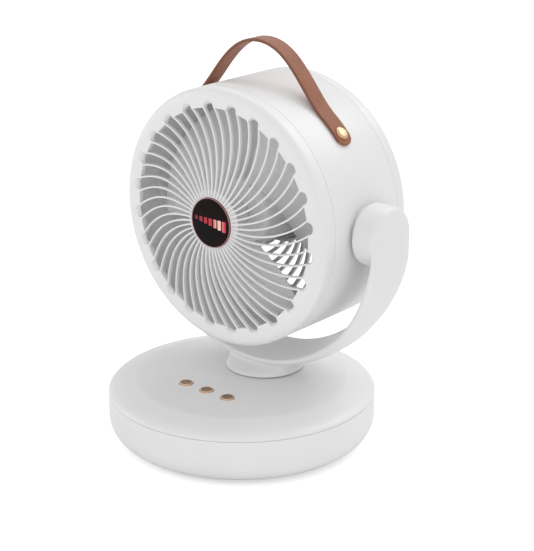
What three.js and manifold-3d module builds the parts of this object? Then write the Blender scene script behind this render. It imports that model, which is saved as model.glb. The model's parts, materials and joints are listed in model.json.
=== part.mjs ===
// Desktop air circulator: a round base with three buttons, a U-shaped yoke that
// swings on it, and a drum head that tilts in the yoke behind a spiral grille.
// Millimetres, +Z up. The fan blows towards -Y. The origin is the middle of the
// base where it stands.
import * as THREE from 'three';
import { mergeVertices } from 'three/addons/utils/BufferGeometryUtils.js';
import Module from 'manifold-3d';

const wasm = await Module();
wasm.setup();

// ---------------------------------------------------------------- dimensions

const CLEAR = 0.3; // gap between two pieces that bear on each other
const RUNNING = 0.4; // gap round a piece that turns
const LAP = 1; // how far joined solids and cutting tools run past a shared face
const CHAMFER = 0.5; // broken edge of a small piece

// Main radii; the fittings below keep their distance to these
const BASE_R = 105;
const DRUM_R = 100;

// Base
const BASE_CORNER = 20; // rounding where the wall meets the floor
const BASE_CORNER_STEPS = 5;
const BASE_WALL = 2.5;
const FLOOR_T = 3;
const FOOT_R = 8;
const FOOT_DROP = 2; // how far a rubber foot stands out
const FOOT_POCKET = 1.2;
const FOOT_CIRCLE_R = BASE_R - 31;
const FOOT_CHAMFER = 1;
const SEAM_Z = 39; // joint of the lower shell and the top cover
const SEAM_GAP = 0.6;
const TONGUE_H = 3.5; // lip that slides inside the neighbouring shell
const TONGUE_T = 2.2;
const PLATEAU_R = BASE_R - 22; // flat top of the base
const PLATEAU_Z = SEAM_Z + 9.5;
const SHOULDER_PULL = 10; // how far the shoulder runs on before it turns down
const POST_R = 4; // screw posts under the top cover
const POST_CIRCLE_R = BASE_R - 29;
const BALLAST_R = POST_CIRCLE_R - POST_R - 6;
const BALLAST_T = 8;
const BALLAST_EDGE = 1;

// Screws
const SCREW_R = 1.6;
const SCREW_HEAD_R = 3.2;
const SCREW_HEAD_T = 1.5;
const SCREW_GRIP = 9; // length of thread in a post

// Buttons and the board under them
const BUTTON_R = 5.6;
const BUTTON_PITCH = 21.5;
const BUTTON_Y = -41;
const BUTTON_PROUD = 0.8; // cap above the plateau
const BUTTON_TRAVEL = 0.8;
const BUTTON_FLANGE_T = 1.2;
const BUTTON_FLANGE_W = 1.3;
const BUTTON_STEM_R = 2;
const BUTTON_STEM_H = 1.5;
const SWITCH_SIDE = 6;
const SWITCH_H = 3.4;
const SWITCH_KNOB_R = 1.7;
const SWITCH_KNOB_H = 0.8;
const BOARD_T = 1.6;
const BOARD_DEPTH = 20;
const BOARD_MARGIN = 17; // board beyond the outer buttons
const BOARD_POST_R = 3.4;
const BOARD_GRIP = 3.5; // thread of a board screw in its post

// Low-voltage inlet at the back
const INLET_W = 11;
const INLET_H = 9;
const INLET_DEPTH = 13;
const INLET_SET_IN = 0.6;
const INLET_Z = 19;
const INLET_BORE_R = 3.1;
const INLET_BORE_DEPTH = 9;
const INLET_PIN_R = 0.9;

// Swing drive
const GEAR_MODULE = 2;
const GEAR_TEETH = 24;
const PINION_TEETH = 10;
const GEAR_T = 6;
const GEAR_BACKLASH = 0.5; // taken off each tooth's width at the pitch circle
const PRESSURE_ANGLE = Math.PI / 9;
const ADDENDUM = 0.9; // tooth above and below the pitch circle, in modules
const DEDENDUM = 1.25;
const SWING_MOTOR_R = 20;
const SWING_MOTOR_EDGE = 1.5;
const SWING_SHAFT_R = 2.5;
const SWING_SHAFT_IN = 8; // length of shaft inside the motor
const CLIP_T = 1.5;
const CLIP_W = 4.5;
const CLIP_GROOVE = 1; // depth of the clip's groove

// Swivel column between the base and the yoke
const COLUMN_LIFT = 0.9; // flange above the plateau
const COLUMN_FOOT_R = 31;
const COLUMN_WAIST = 1.6; // how far the waist draws in from the foot
const COLUMN_TOP_HALF_X = 36;
const COLUMN_TOP_HALF_Y = 18;
const COLUMN_SADDLE = 5; // how far the flare climbs beside the yoke
const STUB_R = 20; // part that turns in the cover
const STUB_DROP = 3;
const TAIL_R = 14; // part that carries the gear
const TAIL_END = 1; // tail below the clip
const CABLE_R = 9;
const THRUST_IN_R = 23;
const THRUST_OUT_R = 28;
const THRUST_SUNK = 1.1;

// Yoke and tilt axis
const PIVOT_Y = 28;
const YOKE_FRONT_IN_R = DRUM_R + 20.5;
const YOKE_REAR_IN_R = DRUM_R + 13; // the inner face slopes inwards to the rear
const YOKE_OUT_R = YOKE_FRONT_IN_R + 6.5;
const YOKE_LIFT = 6.5; // lowest point of the yoke above the plateau
const PIVOT_Z = PLATEAU_Z + YOKE_LIFT + YOKE_OUT_R;
const YOKE_CROWN = 3.2; // fall of the outer face towards its edges
const YOKE_CROWN_SHARES = [1, 0.75, 0, -0.75, -1]; // places where that fall is followed
const YOKE_HALF_W = 19;
const YOKE_BLEND_AT = 0.72; // cosine of the angle where the band starts to widen
const YOKE_BLEND_SPAN = 0.27;
const YOKE_BAND_RISE = 1; // ends of the band under the tilt axis
const YOKE_WALL = 2.4;
const YOKE_RIM = 2.6;
const YOKE_COVER_T = 1.8;
const HUB_R = 24.6;
const HUB_OVER_BAND = 0.4; // radius of the hub beyond the band's half width
const HUB_EDGE = 6; // rounding of the hub's outer face
const HUB_FACE_GAP = 1.6; // between the drum's boss and the hub
const PLUG_WALL = 2.2;
const PLUG_FLOOR = 4;
const PLUG_SHORT = 4.8; // cup's rim inside the hub's outer wall
const PIN_R = 4;
const PIN_HEAD_R = 8;
const PIN_HEAD_T = 3;
const NUT_R = 7;
const NUT_T = 5;
const PIN_BEYOND_NUT = 1.5;
const WASHER_MARGIN = 2; // washer inside the boss's edge

// Drum head, along its own axis from the tilt axis
const DRUM_WALL = 2.5;
const DRUM_BOSS_R = 18;
const DRUM_BOSS_PROUD = 1.2;
const DRUM_BOSS_DEPTH = 5;
const FACE_Z = 51.5; // front face of the bezel
const FACE_EDGE = 6; // rounding of the bezel's outer edge
const FRONT_SEAM_Z = 38;
const REAR_Z = -51;
const REAR_EDGE = 12;
const REAR_SEAM_Z = -37;

// Front grille
const RIBS = 48;
const GRILLE_R = DRUM_R - 15; // outer end of the short slots
const ARCH_H = 5.6; // how far a long slot's rounded end goes on
const GRILLE_HUB_R = 24;
const DOME_H = 8.8; // rise of the grille from its rim to its hub
const DOME_FROM = 0.1; // stretch of the smooth step that the dome follows
const DOME_TO = 0.9;
const RIB_BENDS = [0, 0.36, 0.7, 1]; // shares of a rib's run where its curve bends
const ARCH_BENDS = 4;
const RIB_W = 1.8;
const RIB_HUB_W = 1.2;
const RIB_T = 3.6;
const RIB_SWEEP = 0.32; // turn of a rib from hub to rim, radians
const SWEEP_POWER = 1.45;
const BADGE_R = 18.4;
const BADGE_T = 1.6;
const BADGE_RING_W = 1.4;
const BADGE_PROUD = 0.6;
const BADGE_RING_PROUD = 0.2;
const HUB_DISC_RISE = 1.2;
const HUB_DISC_R = 22.4;

// Rear grille and fan motor
const REAR_RIBS = 36;
const REAR_RIB_W = 3.2;
const REAR_GRILLE_R = DRUM_R - 16;
const REAR_HUB_R = 38;
const REAR_SWEEP = 0.26;
const REAR_RIB_BENDS = [0, 0.55, 1];
const REAR_PLATE_T = 2.6;
const CUP_R = 34;
const CUP_WALL = 2.4;
const CUP_SHORT = 4; // cup's rim behind the motor's front
const MOTOR_EDGE = 2;
const MOTOR_FRONT_Z = -13;
const MOTOR_NOSE_R = 9;
const MOTOR_NOSE_H = 3;
const SHAFT_R = 3;
const SHAFT_BACK = 3; // shaft's end in front of the rear plate

// Impeller
const BLADES = 3;
const BLADE_R = DRUM_R - 17;
const BLADE_T = 2.2;
const BLADE_SPAN = 1.62; // angle that one blade covers, radians
const BLADE_DEPTH = 34; // axial depth at the hub
const BLADE_TIP_DEPTH = 24;
const BLADE_Z = 12; // middle of the blades
const BLADE_PHASE = 0.5;
const BLADE_ROOT = 0.92; // share of the span that a blade keeps at its ends
const BLADE_LAG = 0.3; // how far the tip trails the root, radians
const BLADE_CLIP = 0.16; // how far a tip's front edge is cut back, radians
const BLADE_CAMBER = 0.12;
const BLADE_EDGE = 0.06; // shortens the sine that thins a blade at its edges
const BLADE_LOOPS = 4;
const BLADE_ACROSS = 6;
const IMPELLER_HUB_R = 27;
const IMPELLER_HUB_FRONT_Z = 28;
const IMPELLER_HUB_REAR_Z = -7;
const IMPELLER_WALL = 2.4;
const IMPELLER_NOSE = 5;
const IMPELLER_SEAT = 3; // flat of the hub beyond the nut
const IMPELLER_BOSS_SHORT = 3;
const IMPELLER_BOSS_R = 7;
const SPINNER_R = 8;
const SPINNER_H = 7;
const SPINNER_SKIRT = 2;
const SPINNER_CROWN = 2; // solid end of the nut over the shaft

// Strap handle
const STRAP_W = 15.5;
const STRAP_T = 2.4;
const STRAP_Z = 1.2; // in front of the tilt axis
const STRAP_ANGLE = 0.826; // rivets from the vertical, radians
const STRAP_HUG = 0.16; // how far it lies on the drum above a rivet, radians
const STRAP_END = 9.5; // strap beyond a rivet
const STRAP_CROWN = DRUM_R + 29.4; // height of its middle over the tilt axis
const STRAP_RISE = 0.245 * DRUM_R; // pull of the sides before they bend over
const STRAP_TOP_PULL = 0.306 * DRUM_R;
const STRAP_STEPS = 10;
const STRAP_LAY_STEPS = 8; // steps of the part that lies on the drum
const STRAP_TIP = 1 / 6; // half width at the very end, share of the width
const RIVET_R = 5.2;
const RIVET_H = 1.8;
const RIVET_SHANK_R = 2;
const RIVET_TAIL_R = 4;
const RIVET_TAIL_T = 1.2;
const RIVET_DOME = [[1, 0.35], [0.7, 0.85]]; // shares of radius and height

// Facets
const ROUND = 32; // base, drum
const MEDIUM = 20; // hubs, rings, gears' bores
const SMALL = 8; // screws, pins, holes
const TURNED = 16; // small round pieces that turn, and their holes
const YOKE_STEPS = 16;
const EDGE_STEPS = 3; // facets of a rounded edge
const BUTTON_FACETS = 12;

// ------------------------------------------------------------------ helpers

const { PI } = Math;
const mix = (a, b, t) => a + (b - a) * t;
const smooth = (t) => {
  const u = Math.min(Math.max(t, 0), 1);
  return u * u * (3 - 2 * u);
};

/** The closed solid that a geometry bounds. */
function solid(geometry) {
  const bare = geometry.clone();
  bare.deleteAttribute('normal');
  bare.deleteAttribute('uv');
  const merged = mergeVertices(bare, 1e-4);
  const index = merged.index.array;
  const triVerts = [];
  for (let i = 0; i < index.length; i += 3) {
    const [a, b, c] = [index[i], index[i + 1], index[i + 2]];
    if (a !== b && b !== c && c !== a) triVerts.push(a, b, c);
  }
  return new wasm.Manifold(new wasm.Mesh({
    numProp: 3,
    vertProperties: Float32Array.from(merged.attributes.position.array),
    triVerts: Uint32Array.from(triVerts),
  }));
}

const join = (...solids) => solids.reduce((all, one) => all.add(one));
const cut = (from, ...tools) => tools.reduce((left, tool) => left.subtract(tool), from);

/** A named, coloured mesh of a solid. */
function part(name, shape, material) {
  const { vertProperties, triVerts } = shape.getMesh();
  const geometry = new THREE.BufferGeometry();
  geometry.setAttribute('position', new THREE.BufferAttribute(vertProperties, 3));
  geometry.setIndex(new THREE.BufferAttribute(triVerts, 1));
  geometry.computeVertexNormals();
  const mesh = new THREE.Mesh(geometry, material.clone());
  mesh.name = name;
  return mesh;
}

/** An outline (r, z) turned about Z; it ends on the axis or on itself. */
function revolve(points, segments = MEDIUM) {
  const outline = points.map(([r, z]) => new THREE.Vector2(r, z));
  if (THREE.ShapeUtils.area(outline) < 0) outline.reverse();
  return new THREE.LatheGeometry(outline, segments).rotateX(PI / 2);
}

/** An upright cylinder from z0 to z1. */
function rod(radius, z0, z1, segments = SMALL) {
  return revolve([[0, z0], [radius, z0], [radius, z1], [0, z1]], segments);
}

/** An upright tube from z0 to z1. */
function tube(inner, outer, z0, z1, segments = MEDIUM) {
  return revolve([[inner, z0], [outer, z0], [outer, z1], [inner, z1], [inner, z0]], segments);
}

/** A box given by its middle in x and y, its sizes, and its lowest z. */
function block(x, y, z0, width, depth, height) {
  return new THREE.BoxGeometry(width, depth, height).translate(x, y, z0 + height / 2);
}

/** Quarter-round points about (r, z), from angle a0 to a1. */
function arc(r, z, radius, a0, a1, steps) {
  return Array.from({ length: steps + 1 }, (_, i) => {
    const a = mix(a0, a1, i / steps);
    return [r + radius * Math.cos(a), z + radius * Math.sin(a)];
  });
}

/** Points on the cubic curve between four control points. */
function bezier(p0, p1, p2, p3, steps) {
  const curve = new THREE.CubicBezierCurve(...[p0, p1, p2, p3].map((p) => new THREE.Vector2(...p)));
  return curve.getPoints(steps).map((p) => [p.x, p.y]);
}

/** Equal loops of 3-D points joined side by side and capped at both ends. */
function loft(loops) {
  const size = loops[0].length;
  const index = [];
  for (let i = 0; i + 1 < loops.length; i += 1) {
    for (let j = 0; j < size; j += 1) {
      const a = i * size + j;
      const b = i * size + ((j + 1) % size);
      index.push(a, b, a + size, b, b + size, a + size);
    }
  }
  const last = (loops.length - 1) * size;
  for (let j = 1; j + 1 < size; j += 1) {
    index.push(0, j + 1, j, last, last + j, last + j + 1);
  }
  const geometry = new THREE.BufferGeometry();
  geometry.setAttribute('position', new THREE.Float32BufferAttribute(loops.flat(2), 3));
  geometry.setIndex(index);
  return geometry;
}

/** A plate between two equal grids of points, its facets in facing pairs. */
function slab(upper, lower) {
  const [rows, columns] = [upper.length, upper[0].length];
  const under = rows * columns;
  const at = (i, j) => i * columns + j;
  const index = [];
  for (let i = 0; i + 1 < rows; i += 1) {
    for (let j = 0; j + 1 < columns; j += 1) {
      const [a, b, c, d] = [at(i, j), at(i, j + 1), at(i + 1, j), at(i + 1, j + 1)];
      index.push(a, c, b, b, c, d);
      index.push(under + a, under + b, under + c, under + b, under + d, under + c);
    }
  }
  const border = [];
  for (let j = 0; j + 1 < columns; j += 1) border.push(at(0, j));
  for (let i = 0; i + 1 < rows; i += 1) border.push(at(i, columns - 1));
  for (let j = columns - 1; j > 0; j -= 1) border.push(at(rows - 1, j));
  for (let i = rows - 1; i > 0; i -= 1) border.push(at(i, 0));
  border.forEach((p, k) => {
    const q = border[(k + 1) % border.length];
    index.push(p, q, under + q, p, under + q, under + p);
  });
  const geometry = new THREE.BufferGeometry();
  geometry.setAttribute('position', new THREE.Float32BufferAttribute([...upper, ...lower].flat(2), 3));
  geometry.setIndex(index);
  return geometry;
}

/** Places at equal angles on a circle about Z. */
function around(count, radius, phase = 0) {
  return Array.from({ length: count }, (_, i) => {
    const a = phase + (2 * PI * i) / count;
    return [radius * Math.cos(a), radius * Math.sin(a), a];
  });
}

/** A circle as a path of straight facets, the first corner on the x axis. */
function circlePath(radius, facets) {
  return new THREE.Path(around(facets, radius).map(([x, y]) => new THREE.Vector2(x, y)));
}

/** A screw standing on its head, with its head's outer face at z0. */
function screw(length) {
  return solid(revolve([
    [0, 0],
    [SCREW_HEAD_R, 0],
    [SCREW_HEAD_R, SCREW_HEAD_T],
    [SCREW_R, SCREW_HEAD_T],
    [0, length],
  ], SMALL));
}

// ---------------------------------------------------------------- materials

const finish = (color, roughness, metalness = 0) => (
  new THREE.MeshStandardMaterial({ color, roughness, metalness }));
const WHITE = finish(0xf3f2f0, 0.38);
const PALE = finish(0xdfdfde, 0.45);
const BLACK = finish(0x0b0b0c, 0.12);
const ROSE = finish(0xd9b8ae, 0.3, 0.6);
const COPPER = finish(0xb9794c, 0.32, 0.85);
const BRASS = finish(0xd8b27a, 0.3, 0.9);
const LEATHER = finish(0x94512f, 0.6);
const RUBBER = finish(0x2c2c2e, 0.85);
const STEEL = finish(0xa9adb2, 0.35, 0.9);
const DARK = finish(0x3a3c40, 0.5);
const NYLON = finish(0xe8e4d8, 0.5);
const BOARD = finish(0x1e5a3a, 0.5);

// ------------------------------------------------------------ derived places

const floorTop = FOOT_DROP + FLOOR_T;
const coverUnder = PLATEAU_Z - BASE_WALL;
const baseInnerR = BASE_R - BASE_WALL;
const screwHeadZ = FOOT_DROP + CLEAR;
const screwPocketT = SCREW_HEAD_T + 2 * CLEAR;
const ballastTop = floorTop + CLEAR + BALLAST_T;

const columnZ = PLATEAU_Z + COLUMN_LIFT;
const stubZ = coverUnder - STUB_DROP;
const gearTop = stubZ - CLEAR;
const gearZ = gearTop - GEAR_T;
const clipTop = gearZ - CLEAR;
const tailZ = clipTop - CLIP_T - CLEAR - TAIL_END;
const gearPitchR = (GEAR_MODULE * GEAR_TEETH) / 2;
const pinionPitchR = (GEAR_MODULE * PINION_TEETH) / 2;
const pinionX = -(gearPitchR + pinionPitchR);
const swingMotorTop = tailZ - 3 * CLEAR;

const hubFaceX = DRUM_R + DRUM_BOSS_PROUD + HUB_FACE_GAP;
const plugR = HUB_R - YOKE_RIM;

const postPlaces = around(4, POST_CIRCLE_R, PI / 4);
const footPlaces = around(4, FOOT_CIRCLE_R, 0);
const buttonXs = [-1, 0, 1].map((i) => i * BUTTON_PITCH);
const boardHalfW = BUTTON_PITCH + BOARD_MARGIN;
const boardPostX = boardHalfW - 2 * SCREW_HEAD_R;
const stemEnd = coverUnder - CLEAR - BUTTON_FLANGE_T - BUTTON_STEM_H;
const switchTop = stemEnd - BUTTON_TRAVEL - CLEAR / 2;
const switchZ = switchTop - SWITCH_KNOB_H - SWITCH_H;
const boardTop = switchZ - CLEAR;
const boardZ = boardTop - BOARD_T;
const inletY = BASE_R - INLET_SET_IN - INLET_DEPTH / 2;

const grilleHubZ = FACE_Z + DOME_H;
const badgeTopZ = grilleHubZ + HUB_DISC_RISE + BADGE_PROUD;

// --------------------------------------------------------------------- base

/** Tray with its floor, rounded foot, and holes for feet, screws and inlet. */
function baseLowerShell() {
  const rim = SEAM_Z - SEAM_GAP / 2;
  const inner = Math.max(BASE_CORNER - BASE_WALL, 1);
  const shell = solid(revolve([
    [0, FOOT_DROP],
    ...arc(
      BASE_R - BASE_CORNER, FOOT_DROP + BASE_CORNER, BASE_CORNER, -PI / 2, 0, BASE_CORNER_STEPS,
    ),
    [BASE_R, rim],
    [baseInnerR, rim],
    ...arc(baseInnerR - inner, floorTop + inner, inner, 0, -PI / 2, EDGE_STEPS),
    [0, floorTop],
  ], ROUND));
  const pockets = footPlaces.map(([x, y]) => (
    solid(rod(FOOT_R + CLEAR, 0, FOOT_DROP + FOOT_POCKET).translate(x, y, 0))));
  const screwHoles = postPlaces.map(([x, y]) => join(
    solid(rod(SCREW_HEAD_R + CLEAR, 0, FOOT_DROP + screwPocketT).translate(x, y, 0)),
    solid(rod(SCREW_R + CLEAR, 0, floorTop + LAP).translate(x, y, 0)),
  ));
  const window = solid(block(
    0, inletY + INLET_SET_IN, INLET_Z - CLEAR,
    INLET_W + 2 * CLEAR, INLET_DEPTH + 2 * LAP, INLET_H + 2 * CLEAR,
  ));
  return part('base_lower_shell', cut(shell, ...pockets, ...screwHoles, window), WHITE);
}

/** Dished lid: plateau, shoulder, tongue, screw posts, and its openings. */
function baseTopCover() {
  const rim = SEAM_Z + SEAM_GAP / 2;
  const tongueR = baseInnerR - CLEAR;
  const tongueIn = tongueR - TONGUE_T;
  const lid = solid(revolve([
    [0, PLATEAU_Z],
    ...bezier(
      [PLATEAU_R, PLATEAU_Z], [PLATEAU_R + SHOULDER_PULL, PLATEAU_Z - SHOULDER_PULL / 5],
      [BASE_R, PLATEAU_Z - SHOULDER_PULL / 5], [BASE_R, rim], 4,
    ),
    [tongueR, rim],
    [tongueR, SEAM_Z - TONGUE_H],
    [tongueIn, SEAM_Z - TONGUE_H],
    [tongueIn, rim],
    [PLATEAU_R, coverUnder],
    [0, coverUnder],
  ], ROUND));
  const posts = postPlaces.map(([x, y]) => (
    solid(rod(POST_R, floorTop + CLEAR, coverUnder + BASE_WALL / 2).translate(x, y, 0))));
  const boardPosts = [-boardPostX, boardPostX].map((x) => (
    solid(rod(BOARD_POST_R, boardTop + CLEAR, coverUnder + BASE_WALL / 2).translate(x, BUTTON_Y, 0))));
  const bores = postPlaces.map(([x, y]) => (
    solid(rod(SCREW_R + CLEAR / 2, 0, floorTop + SCREW_GRIP + LAP).translate(x, y, 0))));
  const boardBores = [-boardPostX, boardPostX].map((x) => (
    solid(rod(SCREW_R + CLEAR / 2, 0, boardTop + BOARD_GRIP + LAP).translate(x, BUTTON_Y, 0))));
  const buttonHoles = buttonXs.map((x) => (
    solid(rod(BUTTON_R + CLEAR, 0, PLATEAU_Z + LAP, BUTTON_FACETS).translate(x, BUTTON_Y, 0))));
  const neckHole = solid(rod(STUB_R + RUNNING, 0, PLATEAU_Z + LAP, MEDIUM).translate(0, PIVOT_Y, 0));
  const groove = solid(tube(
    THRUST_IN_R - CLEAR, THRUST_OUT_R + CLEAR, PLATEAU_Z - THRUST_SUNK, PLATEAU_Z + LAP,
  ).translate(0, PIVOT_Y, 0));
  return part('base_top_cover', cut(
    join(lid, ...posts, ...boardPosts),
    ...bores, ...boardBores, ...buttonHoles, neckHole, groove,
  ), WHITE);
}

/** Iron weight that keeps the fan from tipping. */
function ballastPlate() {
  return part('ballast_plate', solid(revolve([
    [0, floorTop + CLEAR],
    [BALLAST_R, floorTop + CLEAR],
    [BALLAST_R, ballastTop - BALLAST_EDGE],
    [BALLAST_R - BALLAST_EDGE, ballastTop],
    [0, ballastTop],
  ])), DARK);
}

function rubberFeet() {
  const top = FOOT_DROP + FOOT_POCKET - CLEAR;
  return footPlaces.map(([x, y], i) => part(`rubber_foot_${i + 1}`, solid(revolve([
    [0, 0],
    [FOOT_R - FOOT_CHAMFER, 0],
    [FOOT_R, FOOT_CHAMFER],
    [FOOT_R, top],
    [0, top],
  ], SMALL).translate(x, y, 0)), RUBBER));
}

function baseScrews() {
  return postPlaces.map(([x, y], i) => {
    const mesh = part(`base_screw_${i + 1}`, screw(floorTop + SCREW_GRIP - screwHeadZ), STEEL);
    mesh.position.set(x, y, screwHeadZ);
    return mesh;
  });
}

/** Flat round caps, each held under the cover by its flange. */
function buttons() {
  const flangeTop = coverUnder - CLEAR;
  const flangeZ = flangeTop - BUTTON_FLANGE_T;
  const capTop = PLATEAU_Z + BUTTON_PROUD;
  return buttonXs.map((x, i) => part(`button_${i + 1}`, solid(revolve([
    [0, stemEnd],
    [BUTTON_STEM_R, stemEnd],
    [BUTTON_STEM_R, flangeZ],
    [BUTTON_R + BUTTON_FLANGE_W, flangeZ],
    [BUTTON_R + BUTTON_FLANGE_W, flangeTop],
    [BUTTON_R, flangeTop],
    [BUTTON_R, capTop - CHAMFER],
    [BUTTON_R - CHAMFER, capTop],
    [0, capTop],
  ], BUTTON_FACETS).translate(x, BUTTON_Y, 0)), COPPER));
}

function switches() {
  return buttonXs.map((x, i) => part(`tact_switch_${i + 1}`, join(
    solid(block(x, BUTTON_Y, switchZ, SWITCH_SIDE, SWITCH_SIDE, SWITCH_H)),
    solid(rod(SWITCH_KNOB_R, switchZ + SWITCH_H / 2, switchTop).translate(x, BUTTON_Y, 0)),
  ), DARK));
}

function controlBoard() {
  const plate = solid(block(0, BUTTON_Y, boardZ, 2 * boardHalfW, BOARD_DEPTH, BOARD_T));
  const holes = [-boardPostX, boardPostX].map((x) => (
    solid(rod(SCREW_R + CLEAR, boardZ - LAP, boardTop + LAP).translate(x, BUTTON_Y, 0))));
  return part('control_board', cut(plate, ...holes), BOARD);
}

function boardScrews() {
  const z = boardZ - CLEAR - SCREW_HEAD_T;
  return [['left', -boardPostX], ['right', boardPostX]].map(([side, x]) => {
    const mesh = part(`board_screw_${side}`, screw(boardTop + BOARD_GRIP - z), STEEL);
    mesh.position.set(x, BUTTON_Y, z);
    return mesh;
  });
}

/** Round socket with its centre pin, in a square body behind the wall. */
function dcInlet() {
  const mouth = BASE_R - INLET_SET_IN;
  const middle = INLET_Z + INLET_H / 2;
  const along = (geometry) => geometry.rotateX(-PI / 2).translate(0, mouth, middle);
  return part('dc_inlet', join(
    cut(
      solid(block(0, inletY, INLET_Z, INLET_W, INLET_DEPTH, INLET_H)),
      solid(along(rod(INLET_BORE_R, -INLET_BORE_DEPTH, LAP))),
    ),
    solid(along(rod(INLET_PIN_R, -INLET_BORE_DEPTH - LAP, -INLET_SET_IN))),
  ), DARK);
}

// -------------------------------------------------------------- swing drive

/** Spur gear outline: straight flanks between the involute's root and tip. */
function gearShape(teeth) {
  const pitchR = (GEAR_MODULE * teeth) / 2;
  const baseR = pitchR * Math.cos(PRESSURE_ANGLE);
  const involute = (r) => {
    const a = Math.acos(Math.min(baseR / r, 1));
    return Math.tan(a) - a;
  };
  const halfAtPitch = ((PI * GEAR_MODULE) / 2 - GEAR_BACKLASH) / 2 / pitchR;
  const half = (r) => halfAtPitch + involute(pitchR) - involute(Math.max(r, baseR));
  const rootR = pitchR - DEDENDUM * GEAR_MODULE;
  const tipR = pitchR + ADDENDUM * GEAR_MODULE;
  const points = around(teeth, 1).flatMap(([, , middle]) => [
    [rootR, middle - half(rootR)],
    [tipR, middle - half(tipR)],
    [tipR, middle + half(tipR)],
    [rootR, middle + half(rootR)],
  ]);
  return new THREE.Shape(points.map(([r, a]) => new THREE.Vector2(r * Math.cos(a), r * Math.sin(a))));
}

function gear(teeth, boreR, facets, turn) {
  const shape = gearShape(teeth);
  shape.holes.push(circlePath(boreR, facets));
  return new THREE.ExtrudeGeometry(shape, { depth: GEAR_T, bevelEnabled: false }).rotateZ(turn);
}

function swingGear() {
  const shape = gear(GEAR_TEETH, TAIL_R + CLEAR, MEDIUM, 0).translate(0, 0, gearZ);
  return part('swing_gear', solid(shape), NYLON);
}

/** Pinion whose gap faces the gear's tooth on the line of centres. */
function drivePinion() {
  const turn = PI / PINION_TEETH;
  const shape = gear(PINION_TEETH, SWING_SHAFT_R + CLEAR, TURNED, turn).translate(pinionX, 0, gearZ);
  return part('drive_pinion', solid(shape), NYLON);
}

function swingMotor() {
  const inset = SWING_MOTOR_R - SWING_MOTOR_EDGE;
  const bottom = ballastTop + CLEAR;
  const can = solid(revolve([
    [0, bottom],
    [inset, bottom],
    [SWING_MOTOR_R, bottom + SWING_MOTOR_EDGE],
    [SWING_MOTOR_R, swingMotorTop - SWING_MOTOR_EDGE],
    [inset, swingMotorTop],
    [0, swingMotorTop],
  ], TURNED).translate(pinionX, 0, 0));
  const hole = solid(rod(
    SWING_SHAFT_R + RUNNING, swingMotorTop - SWING_SHAFT_IN, swingMotorTop + LAP, TURNED,
  ).translate(pinionX, 0, 0));
  return part('swing_motor', cut(can, hole), STEEL);
}

function swingShaft() {
  const bottom = swingMotorTop - SWING_SHAFT_IN + CLEAR;
  const shaft = rod(SWING_SHAFT_R, bottom, gearTop, TURNED).translate(pinionX, 0, 0);
  return part('swing_shaft', solid(shaft), STEEL);
}

/** Ring on the column's tail that keeps the gear up. */
function gearClip() {
  return part('gear_clip', solid(tube(
    TAIL_R - CLIP_GROOVE + CLEAR, TAIL_R + CLIP_W, clipTop - CLIP_T, clipTop,
  )), STEEL);
}

function thrustRing() {
  return part('thrust_ring', solid(tube(
    THRUST_IN_R, THRUST_OUT_R, PLATEAU_Z - THRUST_SUNK + CLEAR, columnZ - CLEAR,
  )), NYLON);
}

/** Short neck: round foot, flare to the yoke, and the stub that turns. */
function swivelColumn() {
  const topZ = PIVOT_Z - YOKE_OUT_R + COLUMN_SADDLE;
  const steps = 4;
  const loops = Array.from({ length: steps + 1 }, (_, i) => {
    const t = i / steps;
    const flare = smooth(t);
    const waist = COLUMN_WAIST * Math.sin(PI * t);
    const halfX = mix(COLUMN_FOOT_R, COLUMN_TOP_HALF_X, flare) - waist;
    const halfY = mix(COLUMN_FOOT_R, COLUMN_TOP_HALF_Y, flare) - waist;
    return around(MEDIUM, 1).map(([x, y]) => [x * halfX, y * halfY, mix(columnZ, topZ, t)]);
  });
  const saddleR = (YOKE_OUT_R + CLEAR) / Math.cos(PI / ROUND);
  const saddle = solid(
    new THREE.CylinderGeometry(saddleR, saddleR, 4 * COLUMN_FOOT_R, ROUND).translate(0, 0, PIVOT_Z),
  );
  const clipZ = clipTop - CLIP_T - CLEAR;
  const stub = solid(revolve([
    [CABLE_R, tailZ],
    [TAIL_R, tailZ],
    [TAIL_R, clipZ],
    [TAIL_R - CLIP_GROOVE, clipZ],
    [TAIL_R - CLIP_GROOVE, gearZ],
    [TAIL_R, gearZ],
    [TAIL_R, stubZ],
    [STUB_R, stubZ],
    [STUB_R, columnZ + LAP],
    [CABLE_R, columnZ + LAP],
    [CABLE_R, tailZ],
  ]));
  const bore = solid(rod(CABLE_R, tailZ - LAP, topZ + LAP, MEDIUM));
  return part('swivel_column', join(cut(solid(loft(loops)), saddle, bore), stub), WHITE);
}

// --------------------------------------------------------------------- yoke

/** Half width of the band at an angle from +X; it widens into the hubs. */
function yokeHalfWidth(angle) {
  const blend = smooth((Math.abs(Math.cos(angle)) - YOKE_BLEND_AT) / YOKE_BLEND_SPAN);
  return mix(YOKE_HALF_W, HUB_R - HUB_OVER_BAND, blend);
}

const yokeOuterAt = (share) => YOKE_OUT_R - YOKE_CROWN * Math.abs(share) ** 3;
const yokeInnerAt = (share) => mix(YOKE_FRONT_IN_R, YOKE_REAR_IN_R, (share + 1) / 2);

/**
 * Part of the yoke's band: side walls drawn in by `side`, from `low` to `high`,
 * radii that depend on the share of the half width, ending `rise` under the axis.
 * `shares` are the places across the band where the outer face bends.
 */
function yokeBand(side, low, high, rise, shares) {
  const end = Math.asin(rise / YOKE_OUT_R);
  const loops = Array.from({ length: YOKE_STEPS + 1 }, (_, i) => {
    const angle = mix(-PI + end, -end, i / YOKE_STEPS);
    const half = yokeHalfWidth(angle) - side;
    const outline = [-1, 1].map((share) => [share, low(share)]);
    shares.forEach((share) => outline.push([share, high(share)]));
    return outline.map(([share, r]) => [r * Math.cos(angle), share * half, r * Math.sin(angle)]);
  });
  return solid(loft(loops.reverse()));
}

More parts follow.
